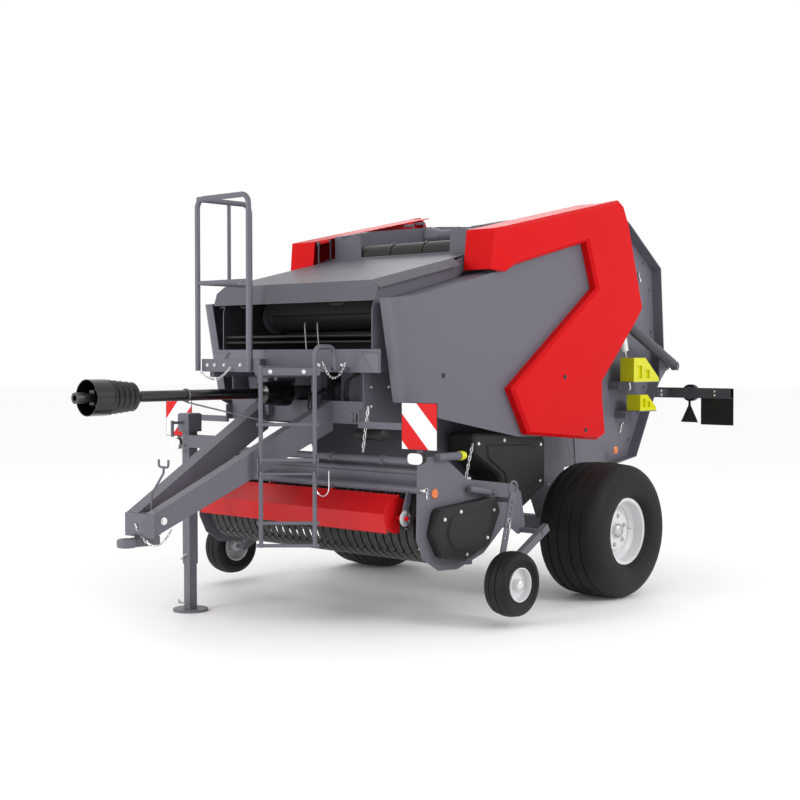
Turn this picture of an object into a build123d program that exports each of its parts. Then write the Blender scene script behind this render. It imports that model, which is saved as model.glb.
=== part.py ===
"""Towed round baler with a fixed bale chamber, modelled as it stands parked on its jack.

X runs to the machine's left, -Y is the towing end, +Z is up, in millimetres.
The functions measure Y from the main axle. write() moves every node by TO_MIDDLE, which puts
the origin on the ground under the middle of the overall length.
"""
from build123d import *
import math
import os

# Fits
RUN_CLEAR = 0.05
SEAT_CLEAR = 0.3
HINGE_CLEAR = 8

# Main wheels and axle
TYRE_R = 466
TYRE_W = 500
TYRE_SHOULDER = 85
RIM_SEAT_R = 216
RIM_FLANGE_R = 240
RIM_WELL_R = 190
RIM_WELL_HALF = 105
RIM_WIDTH = 400
RIM_WALL = 8
DISC_X = 80
DISC_T = 12
DISC_DISH = 25
HUB_R = 75
HUB_INNER = -120
HUB_OUTER = DISC_X + DISC_T + DISC_DISH
TRACK_HALF = 1080
SPINDLE_R = 35
AXLE_BEAM = 110
AXLE_BEAM_HALF = TRACK_HALF - TYRE_W / 2 - 100
AXLE_STUB_R = 52

# Bale chamber
CHAMBER_Y = 500
CHAMBER_Z = 1740
BALE_R = 625
ROLLER_R = 92
ROLLER_RIB = 12
ROLLER_SHAFT_R = 22
WALL_IN = 606
WALL_T = 8
FOLD_T = 8
FLANGE_OUT = WALL_IN + 94
HINGE_Y = 100
HINGE_Z = 2600
HINGE_TUBE_R = 48
HINGE_CONE_R = 80
EAR_R = 78
EAR_T = 22
SPLIT_TOP = (150, 2540)
SPLIT_FOOT = (330, 868)
SPLIT_GAP = 12

# Tailgate cylinders
CYL_X = FLANGE_OUT + 80
CYL_FRONT = (40, 2240)
CYL_REAR = (1450, 1595)
CYL_BARREL_R = 40
CYL_BARREL_L = 900
CYL_ROD_R = 20
CYL_EYE_R = 34
CYL_EYE_HALF = 20
CYL_PIN_R = 15

# Net box, the level that the drawbar, platform and drive shaft hang from
BOX_SILL = 1570
BOX_FLOOR = BOX_SILL + 140
BOX_CHEEK_TOP = BOX_SILL + 550
BOX_HALF = WALL_IN + 84
BOX_FRONT = -1930
BOX_BACK = -1135
BOX_SHEET = 5
HOOD_REAR = (-900, 2370)
HOOD_FOLD = (-1925, 2140)
HOOD_LIP = (-1965, 2012)
HOOD_HALF = BOX_HALF - 5
HOOD_FLAP = HOOD_HALF + 65
HOOD_FLAP_DROP = 48
HOOD_FLAP_BACK = -1150
HOOD_PIN_R = 7
HOOD_KNUCKLE_R = 11
TOP_ROLLER_R = 74
TOP_ROLLER_PLACE = (-782, 2396)

# Front beam and drawbar
FRONT_BEAM = 140
FRONT_BEAM_Y = -1920
FRONT_BEAM_Z = BOX_SILL - 320
FRONT_BEAM_WALL = 8
HEAD_Y = -3160
HEAD_X = 80
BEAM_END_X = 300
BEAM_W = 90
BEAM_WALL = 8
HEAD_TOP = 755
HEAD_LOW = 620
BEAM_TOP = FRONT_BEAM_Z + FRONT_BEAM
BEAM_LOW = FRONT_BEAM_Z - 50
EYE_Y = -3260
EYE_Z = 590
EYE_R = 57.5
EYE_BORE = 25.5
EYE_T = 50

# Jack
JACK_X = -590
JACK_Y = -2310
JACK_OUTER = 70
JACK_WALL = 5
JACK_INNER = JACK_OUTER - 2 * JACK_WALL - 2 * SEAT_CLEAR
JACK_TUBE_FOOT = 310
JACK_HEAD = 110
JACK_TOP = FRONT_BEAM_Z + 50
JACK_FOOT_R = 114
JACK_FOOT_T = 16
JACK_OVERLAP = 450

# Drive shaft and its guard
SHAFT_Z = BOX_SILL - 133
SHAFT_TIP_Y = -3610
SHAFT_R = 22
SLEEVE_R = 32
SLEEVE_BORE = 17.5
SLEEVE_DEPTH = 68
YOKE_W = 84
GUARD_R = 33
GUARD_WALL = 5
GUARD_FRONT_Y = -3530
GUARD_CUP_R = 105
GUARD_CUP_L = 120
RIDGE_COUNT = 5
RIDGE_PITCH = 40
RIDGE_DEPTH = 14
GEARBOX_Y = -1655
NECK_R = 46
NECK_FRONT = -1975

# Platform, rail and ladder
DECK_Z = BOX_SILL + 30
DECK_T = 5
DECK_FRONT = -2470
DECK_BACK = -1940
DECK_CORNER = -2250
DECK_HALF = 260
DECK_LEFT = 500
TOE_TOP = DECK_Z + 55
TOE_FOOT = DECK_Z - 25
RAIL_TOP = DECK_Z + 1055
RAIL_KNEE = DECK_Z + 530
RAIL_R = 17
RAIL_THIN_R = 13
RAIL_BACK = -2055
RAIL_SPAN = 480
LADDER_LEFT = (300, -2490)
LADDER_RIGHT = (540, -2270)
LADDER_R = 13.5
RUNG_R = 11
LADDER_PITCH = 298
LADDER_PIVOT_Z = DECK_Z - 639
LADDER_FOOT = LADDER_PIVOT_Z - 446
LADDER_PIN_R = 8
LADDER_GRIP_Z = DECK_Z + 130

# Pickup
PIVOT_Y = -950
PIVOT_Z = 750
PIVOT_R = 30
ROTOR_SHAFT_R = 22
PICKUP_HALF = 1010
PLATE_T = 8
REEL_Y = -1600
REEL_Z = 620
REEL_SHAFT_R = 20
TINE_BAR_R = 14
TINE_BAR_PLACE = 110
TINE_KNEE_R = 185
TINE_TIP_R = 262
TINE_T = 6
TINE_BARS = 4
STRIP_R = 235
STRIP_W = 52
STRIP_PITCH = 66
STRIP_T = 3
STRIP_SIDE = int((PICKUP_HALF - STRIP_W) / STRIP_PITCH)
STRIP_BACK = 215
SHIELD_TUBE = (-1795, 965)
GUARD_PIVOT = (-1850, 862)
GUARD_TUBE_R = 24
GUARD_PIN_R = 12
GUARD_LINE = [(-1872, 826), (-2008, 718), (-1985, 600)]
GUARD_DISC = (-1905, 706)
GUARD_DISC_R = 112
GUARD_HALF = PICKUP_HALF - 140

# Gauge wheels
GAUGE_ARM_X = PICKUP_HALF + 170
GAUGE_X = PICKUP_HALF + 305
GAUGE_Y = -1330
GAUGE_Z = 266
GAUGE_R = 203
GAUGE_W = 165
GAUGE_RIM_R = 106
GAUGE_HUB_R = 32
GAUGE_PIN_R = 15
GAUGE_ARM_END = (-790, 560)
GAUGE_PIVOT = (-850, 533)
GAUGE_ARM_W = 50

# Side covers
COVER_X = BOX_HALF + 230
COVER_T = 5
COVER_FRONT_X = BOX_HALF + 90
COVER_FRONT_Y = -1950
COVER_ROUND = (105, 210)
COVER_LEAN = 0.19
BAND_OUT = COVER_X + 70
BAND_WALL = 5
BAND_CHAMFER = 20
LOBE_FRONT = (-1045, 2500)
LOBE_LOW = (-1075, 2235)
LOBE_BEVEL = 150
WRAP_END = (218, 2763.5)
COVER_HINGE_X = BOX_HALF + 10
COVER_HINGE_FRONT = (-1260, 2440)
COVER_HINGE_BACK = (360, 2772)
COVER_PIN_R = 6
COVER_KNUCKLE_R = 11
COVER_KNUCKLE_L = 80
COVER_HINGE_SHARES = (0.16, 0.74)

# Lights, boards and chocks
BOARD = 282
BOARD_T = 3
BOARD_X = 1120
FRONT_BOARD_Y = -1975
FRONT_BOARD_Z = BOX_SILL - 314
REAR_BAR_Y = 1470
REAR_BAR_Z = 1385
REAR_BAR_H = 80
REAR_BAR_D = 40
REAR_BAR_HALF = 1255
REAR_BOARD_Z = 1280
LAMP_X = 876
LAMP_R = 66
LAMP_D = 45
CHOCK_IN = FLANGE_OUT + 20
CHOCK_W = 120
CHOCK_UPPER = (770, 1480)
CHOCK_LOWER = (860, 1260)
TO_MIDDLE = -(SHAFT_TIP_Y + REAR_BAR_Y + REAR_BAR_D + LAMP_D) / 2


def write(name, shape):
    export_step(Pos(0, TO_MIDDLE, 0) * shape, f"parts/{name}.step")


def pair(name, shape):
    write(name + "_left", shape)
    write(name + "_right", other_side(shape))


def block(x0, x1, y0, y1, z0, z1):
    return Pos((x0 + x1) / 2, (y0 + y1) / 2, (z0 + z1) / 2) * Box(x1 - x0, y1 - y0, z1 - z0)


def bar_x(radius, x0, x1, y, z, bore=0):
    bar = Cylinder(radius, x1 - x0)
    if bore:
        bar -= Cylinder(bore, x1 - x0 + 2)
    return Pos((x0 + x1) / 2, y, z) * Rot(0, 90, 0) * bar


def bar_y(radius, x, y0, y1, z, bore=0):
    bar = Cylinder(radius, y1 - y0)
    if bore:
        bar -= Cylinder(bore, y1 - y0 + 2)
    return Pos(x, (y0 + y1) / 2, z) * Rot(90, 0, 0) * bar


def bar_z(radius, x, y, z0, z1, bore=0):
    bar = Cylinder(radius, z1 - z0)
    if bore:
        bar -= Cylinder(bore, z1 - z0 + 2)
    return Pos(x, y, (z0 + z1) / 2) * bar


def square_z(side, x, y, z0, z1, wall=0):
    tube = block(x - side / 2, x + side / 2, y - side / 2, y + side / 2, z0, z1)
    if wall:
        half = side / 2 - wall
        tube -= block(x - half, x + half, y - half, y + half, z0 - 1, z1 + 1)
    return tube


def rod(start, end, radius):
    direction = Vector(*end) - Vector(*start)
    return extrude(Plane(origin=start, z_dir=direction) * Circle(radius), amount=direction.length)


def beam(start, end, width, height, wall=0):
    """Rectangular tube from start to end, its width kept level."""
    direction = Vector(*end) - Vector(*start)
    level = Vector(0, 0, 1).cross(direction)
    plane = Plane(origin=start, x_dir=level, z_dir=direction)
    section = Rectangle(width, height)
    if wall:
        section -= Rectangle(width - 2 * wall, height - 2 * wall)
    return extrude(plane * section, amount=direction.length)


def side_plate(points, x0, x1, corner=0):
    """Outline of (Y, Z) points, extruded from x0 to x1, with rounded corners where asked."""
    if corner:
        face = make_face(FilletPolyline(*points, radius=corner, close=True))
    else:
        face = make_face(Polyline(*points, close=True))
    return Pos(x0, 0, 0) * extrude(Plane.YZ * face, amount=x1 - x0)


def plan_plate(points, z0, z1):
    face = make_face(Polyline(*points, close=True))
    return Pos(0, 0, z0) * extrude(face, amount=z1 - z0)


def front_plate(points, y0, y1):
    """Outline of (X, Z) points, extruded from y0 to y1."""
    face = make_face(Polyline(*points, close=True))
    return Pos(0, y1, 0) * extrude(Plane.XZ * face, amount=y1 - y0)


def folded_sheet(line, x0, x1, thick):
    """Sheet that follows a line of (Y, Z) points, its thickness on the line's left; a minus turns it."""
    outer = [Vector(*p) for p in line]
    inner = []
    for i, point in enumerate(outer):
        before = outer[max(i - 1, 0)]
        after = outer[min(i + 1, len(outer) - 1)]
        run = (after - before).normalized()
        inner.append(point + Vector(-run.Y, run.X) * thick)
    points = [(p.X, p.Y) for p in outer + inner[::-1]]
    return side_plate(points, x0, x1)


def pipe(points, radius, bend):
    path = FilletPolyline(*points, radius=bend)
    return sweep(Plane(origin=path @ 0, z_dir=path % 0) * Circle(radius), path=path)


def other_side(shape):
    return mirror(shape, about=Plane.YZ)


def both_sides(half_line):
    """Section points given for one side of the middle, closed by their mirror image."""
    return half_line + [(-x, r) for x, r in reversed(half_line)]


# Wheels

def main_tyre():
    half = TYRE_W / 2
    bead = RIM_WIDTH / 2 - RIM_WALL - SEAT_CLEAR
    seat = RIM_SEAT_R + SEAT_CLEAR
    lip = RIM_FLANGE_R + 6
    tread = half - TYRE_SHOULDER
    side = [(0, TYRE_R), (tread, TYRE_R - 8), (half - 32, TYRE_R - 24), (half - 8, TYRE_R - 62),
            (half, lip + 105), (half - 12, lip + 50), (bead, lip), (bead, seat)]
    section = side[1:] + [(-x, r) for x, r in reversed(side[1:])] + [side[0]]
    return Pos(TRACK_HALF, 0, TYRE_R) * revolve(make_face(Polyline(*section, close=True)), axis=Axis.X)


def main_rim():
    lip = RIM_WIDTH / 2
    seat_end = RIM_WELL_HALF + 25
    slant = 4
    well = [(RIM_WELL_HALF, RIM_WELL_R), (seat_end, RIM_SEAT_R), (lip - RIM_WALL, RIM_SEAT_R),
            (lip - RIM_WALL, RIM_FLANGE_R), (lip, RIM_FLANGE_R), (lip, RIM_SEAT_R - RIM_WALL),
            (seat_end - slant, RIM_SEAT_R - RIM_WALL), (RIM_WELL_HALF - slant, RIM_WELL_R - RIM_WALL)]
    barrel = revolve(make_face(Polyline(*both_sides(well), close=True)), axis=Axis.X)
    face = [(DISC_X + DISC_T, RIM_WELL_R - 3), (DISC_X + DISC_T, 155), (HUB_OUTER, 130), (HUB_OUTER, HUB_R - 5)]
    back = [(x - DISC_T, r) for x, r in reversed(face)]
    disc = revolve(make_face(Polyline(*face, *back, close=True)), axis=Axis.X)
    hub = bar_x(HUB_R, HUB_INNER, HUB_OUTER, 0, 0) + bar_x(48, HUB_OUTER, HUB_OUTER + 22, 0, 0)
    bore = bar_x(SPINDLE_R + RUN_CLEAR, HUB_INNER - 1, HUB_OUTER - 15, 0, 0)
    return Pos(TRACK_HALF, 0, TYRE_R) * (barrel + disc + hub - bore)


def axle():
    beam_part = block(-AXLE_BEAM_HALF, AXLE_BEAM_HALF, -AXLE_BEAM / 2, AXLE_BEAM / 2,
                      TYRE_R - AXLE_BEAM / 2, TYRE_R + AXLE_BEAM / 2)
    stub = bar_x(AXLE_STUB_R, AXLE_BEAM_HALF, TRACK_HALF + HUB_INNER - 5, 0, TYRE_R)
    spindle = bar_x(SPINDLE_R, AXLE_BEAM_HALF, TRACK_HALF + HUB_OUTER - 20, 0, TYRE_R)
    end = stub + spindle
    return beam_part + end + other_side(end)


# Bale chamber

WALL_RIM = [(-20, 2662), (-560, 2600), (-868, 2545), (-868, 2362), (-900, 2340), (-1130, 2180), (-1130, BOX_SILL)]


def front_wall():
    low = TYRE_R + AXLE_BEAM / 2
    foot = [(-1250, 1190), (-1100, 880), (-1010, 560), (-700, 540), (-220, 700), (-130, low), (130, low), (200, 860)]
    crown = [(HINGE_Y + EAR_R, HINGE_Z), (HINGE_Y + 45, HINGE_Z + 60), (HINGE_Y - 20, HINGE_Z + 74)]
    outline = [(FRONT_BEAM_Y, BOX_SILL), (FRONT_BEAM_Y, FRONT_BEAM_Z)] + foot
    outline += [SPLIT_FOOT, SPLIT_TOP] + crown + WALL_RIM[1:]
    plate = side_plate(outline, WALL_IN, WALL_IN + WALL_T)
    rim = folded_sheet(WALL_RIM, WALL_IN + WALL_T, FLANGE_OUT - 20, FOLD_T)
    step_y, step_z = WALL_RIM[2]
    rim += front_plate([(WALL_IN + 1, step_z - 25), (WALL_IN - 110, step_z + 4), (WALL_IN - 180, step_z - 15),
                        (WALL_IN - 190, 2365), (WALL_IN + 1, 2365)], step_y, step_y + FOLD_T)
    hinge_hole = bar_x(HINGE_TUBE_R, WALL_IN - 1, WALL_IN + WALL_T + 1, HINGE_Y, HINGE_Z)
    bracket = bar_x(30, WALL_IN + WALL_T, CYL_X - CYL_EYE_HALF - 3, *CYL_FRONT)
    rotor_hole = bar_x(ROTOR_SHAFT_R + RUN_CLEAR, WALL_IN - 1, WALL_IN + WALL_T + 1, PIVOT_Y, PIVOT_Z)
    cover_post = cover_bracket(COVER_HINGE_SHARES[1], WALL_IN, 120)
    return plate + rim + bracket + cover_post - hinge_hole - rotor_hole


def hinge_tube():
    fit = 0.2
    tube = bar_x(HINGE_TUBE_R - fit, -FLANGE_OUT, FLANGE_OUT, 0, 0)
    end = WALL_IN - SEAT_CLEAR
    flare = [(end, 0), (end, HINGE_CONE_R), (end - 12, HINGE_CONE_R), (end - 120, HINGE_TUBE_R - fit), (end - 120, 0)]
    cone = revolve(make_face(Polyline(*flare, close=True)), axis=Axis.X)
    bore = bar_x(HINGE_TUBE_R - 8, -FLANGE_OUT - 1, FLANGE_OUT + 1, 0, 0)
    return Pos(0, HINGE_Y, HINGE_Z) * (tube + cone + other_side(cone) - bore)


TAIL_OUTLINE = [(230, 2690), (830, 2730), (925, 2680), (1370, 2360), (1420, 1700), (1420, 1580),
                (1260, 1315), (1030, 900), (760, 860)]
TAIL_SHEET = WALL_T + 2


def tail_wall():
    foot = (SPLIT_FOOT[0] + SPLIT_GAP, SPLIT_FOOT[1] - 4)
    top = (SPLIT_TOP[0] + SPLIT_GAP, SPLIT_TOP[1])
    outline = TAIL_OUTLINE + [foot, top, (HINGE_Y + EAR_R + SPLIT_GAP, HINGE_Z + 20)]
    outside = WALL_IN + TAIL_SHEET
    plate = side_plate(outline, WALL_IN, outside)
    plate -= bar_x(EAR_R + SPLIT_GAP, WALL_IN - 1, outside + 1, HINGE_Y, HINGE_Z)
    rim = folded_sheet(TAIL_OUTLINE, outside, FLANGE_OUT, -FOLD_T)
    arm = [(HINGE_Y, HINGE_Z - EAR_R), (HINGE_Y, HINGE_Z + EAR_R), (420, 2670), (420, 2480)]
    ear = side_plate(arm, outside, outside + EAR_T) + bar_x(EAR_R, outside, outside + EAR_T, HINGE_Y, HINGE_Z)
    ear -= bar_x(HINGE_TUBE_R - 0.2 + RUN_CLEAR, outside - 1, outside + EAR_T + 1, HINGE_Y, HINGE_Z)
    lug_y, lug_z = CYL_REAR
    lug_line = [(1340, 1760), (1420, 1700), (lug_y + 30, lug_z + 20), (lug_y + 30, lug_z - 25),
                (lug_y - 20, lug_z - 40), (1340, 1470)]
    lug = side_plate(lug_line, FLANGE_OUT - 1, FLANGE_OUT + 10)
    pin = bar_x(CYL_PIN_R, FLANGE_OUT, CYL_X + CYL_EYE_HALF + 8, lug_y, lug_z)
    shelves = [chock_shelf(outside, *CHOCK_UPPER, 360), chock_shelf(outside, *CHOCK_LOWER, 230)]
    return plate + rim + ear + lug + pin + shelves


def chock_shelf(x0, y, z, length):
    floor = block(x0, CHOCK_IN + CHOCK_W, y - 10, y + length, z - 6 - SEAT_CLEAR, z - SEAT_CLEAR)
    return floor + block(x0, CHOCK_IN - 4, y - 10, y - 4, z - 60, z - SEAT_CLEAR)


def wheel_chock(y, z, length, height):
    """Wedge with a level sole and a stepped, hollowed face, standing on its shelf."""
    slope = [(y, z), (y + length, z), (y + length, z + 25), (y + length * 0.45, z + height), (y, z + height)]
    wedge = side_plate(slope, CHOCK_IN, CHOCK_IN + CHOCK_W)
    for step in (0.12, 0.42):
        wedge -= block(CHOCK_IN + CHOCK_W - 15, CHOCK_IN + CHOCK_W + 1, y + step * length,
                       y + (step + 0.2) * length, z + 25, z + 25 + (1 - step) * height * 0.6)
    return wedge


def roller(angle):
    """Ribbed chamber roller at an angle from straight back, seen from the left."""
    centre_r = BALE_R + ROLLER_R + ROLLER_RIB
    y = CHAMBER_Y + centre_r * math.cos(math.radians(angle))
    z = CHAMBER_Z + centre_r * math.sin(math.radians(angle))
    section = Circle(ROLLER_R)
    for turn in range(0, 360, 45):
        section += Rot(0, 0, turn) * Pos(ROLLER_R, 0) * Rectangle(2 * ROLLER_RIB, 10)
    half = WALL_IN - 6
    drum = Pos(-half, y, z) * extrude(Plane.YZ * section, amount=2 * half)
    return drum + bar_x(ROLLER_SHAFT_R, -WALL_IN + SEAT_CLEAR, WALL_IN - SEAT_CLEAR, y, z)


def rollers(angles):
    return Part() + [roller(angle) for angle in angles]


def rear_plate():
    """Sheet closing the back of the tailgate between its side walls."""
    half = WALL_IN - SEAT_CLEAR
    line = [(925, 2672), (1362, 2356), (1412, 1700), (1412, 1580), (1254, 1318), (1030, 910)]
    return folded_sheet(line, -half, half, BOX_SHEET)


# Drawbar and front frame

def drawbar_beam(solid=False):
    run = math.hypot(BEAM_END_X - HEAD_X, FRONT_BEAM_Y - HEAD_Y)
    slope_top = (BEAM_TOP - HEAD_TOP) / run
    slope_low = (BEAM_LOW - HEAD_LOW) / run
    far = run + 60

    def profile(inset):
        low = HEAD_LOW + inset
        top = HEAD_TOP - inset
        return [(0, low), (0, top), (far, top + slope_top * far), (far, low + slope_low * far)]

    tube = front_plate(profile(0), -BEAM_W / 2, BEAM_W / 2)
    if not solid:
        tube -= front_plate(profile(BEAM_WALL), BEAM_WALL - BEAM_W / 2, BEAM_W / 2 - BEAM_WALL)
    turn = math.degrees(math.atan2(FRONT_BEAM_Y - HEAD_Y, BEAM_END_X - HEAD_X))
    placed = Pos(HEAD_X, HEAD_Y, 0) * Rot(0, 0, turn) * tube
    behind = block(0, 900, FRONT_BEAM_Y, FRONT_BEAM_Y + 300, BEAM_LOW - 200, BEAM_TOP + 300)
    return placed - behind


def front_frame():
    """Cross beam, rear cross tube, side plates to the net box, and the arms of the boards and lamps."""
    back = FRONT_BEAM_Y + FRONT_BEAM
    top = FRONT_BEAM_Z + FRONT_BEAM
    half = WALL_IN - SEAT_CLEAR
    wall = FRONT_BEAM_WALL
    tube = block(-half, half, FRONT_BEAM_Y, back, FRONT_BEAM_Z, top)
    tube -= block(-half - 1, half + 1, FRONT_BEAM_Y + wall, back - wall, FRONT_BEAM_Z + wall, top - wall)
    plate = front_plate([(BEAM_END_X, top), (half - 46, top), (half - 6, BOX_SILL), (BEAM_END_X, BOX_SILL)],
                        FRONT_BEAM_Y + 120, FRONT_BEAM_Y + 130)
    cross = block(-half, half, -1120, -1040, FRONT_BEAM_Z - 60, FRONT_BEAM_Z + 20)
    y0 = FRONT_BOARD_Y + BOARD_T
    outside = WALL_IN + WALL_T
    bar = block(outside, BOARD_X + 60, y0, y0 + 20, FRONT_BOARD_Z - 26, FRONT_BOARD_Z + 14)
    foot = block(outside, outside + 8, y0, FRONT_BEAM_Y + 60, FRONT_BEAM_Z, FRONT_BEAM_Z + 100)
    hanger = block(BOARD_X - 20, BOARD_X + 20, y0, y0 + 6, FRONT_BOARD_Z - 230, FRONT_BOARD_Z - 26)
    side = plate + (bar + foot + hanger)
    return Part() + [tube, cross, side, other_side(side)]


def front_lamps():
    face = Pos(BOARD_X, FRONT_BOARD_Z - 190) * Ellipse(58, 34)
    lamp = Pos(0, FRONT_BOARD_Y + BOARD_T - SEAT_CLEAR, 0) * extrude(Plane.XZ * face, amount=38)
    return lamp + other_side(lamp)


def drawbar_head():
    """Nose between the beams: bevelled in front, with cheeks back to the hose hook."""
    nose_y = HEAD_Y - 50
    low = HEAD_LOW + 1
    top = HEAD_TOP - 1
    wide = HEAD_X + 60
    run = math.hypot(BEAM_END_X - HEAD_X, FRONT_BEAM_Y - HEAD_Y)
    front = HEAD_Y - BEAM_W / 2 * (BEAM_END_X - HEAD_X) / run - SEAT_CLEAR
    nose = plan_plate([(-wide, front), (-HEAD_X, nose_y), (HEAD_X, nose_y), (wide, front)], low, top)
    web = block(-34, 34, front - 1, HEAD_Y + 120, low, top)
    return chamfer(nose.edges().filter_by(Axis.X).group_by(Axis.Y)[0], 22) + web


def towing_eye():
    ring = fillet(Cylinder(EYE_R, EYE_T).edges(), 12) - Cylinder(EYE_BORE, EYE_T + 2)
    shank = plan_plate([(-26, EYE_R - 14), (26, EYE_R - 14), (40, 110), (40, 210), (-40, 210), (-40, 110)],
                       -EYE_T / 2, EYE_T / 2)
    lift = block(-33, 33, 80, 210, EYE_T / 2 - 1, HEAD_LOW + 1 - EYE_Z)
    return Pos(0, EYE_Y, EYE_Z) * (ring + shank + lift)


def hose_hook():
    y0 = HEAD_Y + 80
    y1 = y0 + 90
    stem = pipe([(0, y0, HEAD_TOP - 1), (0, y0, HEAD_TOP + 105), (0, y1, HEAD_TOP + 225), (0, y1, HEAD_TOP + 255)], 7, 30)
    fork = pipe([(-45, y1, HEAD_TOP + 305), (-45, y1, HEAD_TOP + 260), (45, y1, HEAD_TOP + 260),
                 (45, y1, HEAD_TOP + 305)], 7, 18)
    return stem + fork


def jack_tube():
    body_top = JACK_TOP - 120
    tube = square_z(JACK_OUTER, JACK_X, JACK_Y, JACK_TUBE_FOOT, body_top, JACK_WALL)
    head = chamfer(square_z(JACK_HEAD, JACK_X, JACK_Y, body_top, JACK_TOP).edges().group_by(Axis.Z)[-1], 8)
    share = (JACK_Y - HEAD_Y) / (FRONT_BEAM_Y - HEAD_Y)
    height = HEAD_LOW + share * (BEAM_LOW - HEAD_LOW)
    arm = block(JACK_X + JACK_OUTER / 2 - 2, -HEAD_X, JACK_Y - 45, JACK_Y + 45, height + 60, height + 140)
    arm -= other_side(drawbar_beam(solid=True))
    arm = arm.solids().sort_by(Axis.X)[0]
    crank = bar_y(9, JACK_X, JACK_Y - 150, JACK_Y - 20, JACK_TOP - 60)
    grip = bar_z(11, JACK_X, JACK_Y - 144, JACK_TOP - 150, JACK_TOP - 45)
    return tube + head + arm + crank + grip


def jack_leg():
    leg = square_z(JACK_INNER, JACK_X, JACK_Y, JACK_FOOT_T, JACK_TUBE_FOOT + JACK_OVERLAP, JACK_WALL)
    return leg + bar_z(JACK_FOOT_R, JACK_X, JACK_Y, 0, JACK_FOOT_T)


# Drive shaft and gearbox

def gearbox():
    body = block(-150, 150, GEARBOX_Y - 120, GEARBOX_Y + 130, SHAFT_Z - 130, SHAFT_Z + 125)
    body = chamfer(body.edges().filter_by(Axis.Y), 25)
    neck = bar_y(NECK_R, 0, NECK_FRONT, GEARBOX_Y - 120, SHAFT_Z)
    side = bar_x(65, -WALL_IN + SEAT_CLEAR, WALL_IN - SEAT_CLEAR, GEARBOX_Y, SHAFT_Z)
    return body + neck + side - bar_y(SHAFT_R + RUN_CLEAR, 0, NECK_FRONT - 1, NECK_FRONT + 80, SHAFT_Z)


def drive_shaft():
    """Splined sleeve, universal joint and tube, down to the gearbox's neck."""
    tip = SHAFT_TIP_Y
    centre = tip + 132
    half = YOKE_W / 2
    tube = bar_y(SHAFT_R, 0, tip + 190, NECK_FRONT + 75, SHAFT_Z)
    inner_yoke = block(-SHAFT_R, SHAFT_R, centre - 17, tip + 195, SHAFT_Z - half, SHAFT_Z + half)
    inner_yoke -= block(-SHAFT_R - 1, SHAFT_R + 1, centre - 22, tip + 165, SHAFT_Z - 26, SHAFT_Z + 26)
    outer_yoke = block(-half, half, tip + 55, centre + 18, SHAFT_Z - SHAFT_R, SHAFT_Z + SHAFT_R)
    outer_yoke -= block(-26, 26, tip + 105, centre + 23, SHAFT_Z - SHAFT_R - 1, SHAFT_Z + SHAFT_R + 1)
    cross = bar_x(10, -half, half, centre, SHAFT_Z) + bar_z(10, 0, centre, SHAFT_Z - half, SHAFT_Z + half)
    sleeve = bar_y(SLEEVE_R, 0, tip, tip + 70, SHAFT_Z)
    socket = bar_y(SLEEVE_BORE, 0, tip - 1, tip + SLEEVE_DEPTH, SHAFT_Z)
    return tube + inner_yoke + outer_yoke + cross + sleeve - socket


def shaft_guard():
    """Cup, ridged bellows, tube and rear cone, turned as one wall of even thickness."""
    front = GUARD_FRONT_Y
    back = NECK_FRONT - SEAT_CLEAR
    ridge_start = front + GUARD_CUP_L
    line = [(front, GUARD_CUP_R), (ridge_start, GUARD_CUP_R)]
    for i in range(RIDGE_COUNT):
        crest = GUARD_CUP_R - 4 - i * 4
        y = ridge_start + i * RIDGE_PITCH
        line += [(y + RIDGE_PITCH * 0.3, crest - RIDGE_DEPTH), (y + RIDGE_PITCH * 0.7, crest)]
    tail = ridge_start + RIDGE_COUNT * RIDGE_PITCH
    line += [(tail + 15, GUARD_CUP_R - 45), (tail + 30, GUARD_R), (back - 250, GUARD_R), (back - 240, 70)]
    outer = [(r, y) for y, r in line + [(back - 30, 88), (back - 30, 50), (back, 50)]]
    inner = [(r - GUARD_WALL, y) for y, r in line] + [(88 - GUARD_WALL, back - 35), (40, back - 35), (40, back)]
    face = make_face(Polyline(*(outer + inner[::-1]), close=True))
    return Pos(0, 0, SHAFT_Z) * revolve(face, axis=Axis.Y)


def shaft_stay():
    """Rod that carries the parked shaft, from a ring on its guard down to the drawbar."""
    y = -2820
    ring = bar_y(GUARD_R + 8, 0, y - 6, y + 6, SHAFT_Z, GUARD_R + SEAT_CLEAR)
    share = (-2240 - HEAD_Y) / (FRONT_BEAM_Y - HEAD_Y)
    seat = HEAD_TOP + share * (BEAM_TOP - HEAD_TOP)
    foot = (HEAD_X + share * (BEAM_END_X - HEAD_X), -2240, seat + 14)
    drop = bar_z(5, foot[0], foot[1], seat + 3, foot[2] + 4)
    return ring + rod((0, y, SHAFT_Z - GUARD_R - 7), foot, 5) + drop


# Platform, rail and ladder

def deck_outline(grow=0):
    return [(-DECK_HALF - grow, DECK_BACK), (-DECK_HALF - grow, DECK_FRONT - grow),
            (DECK_HALF + grow * 0.4, DECK_FRONT - grow), (DECK_LEFT + grow, DECK_CORNER - grow * 0.4),
            (DECK_LEFT + grow, DECK_BACK)]


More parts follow.
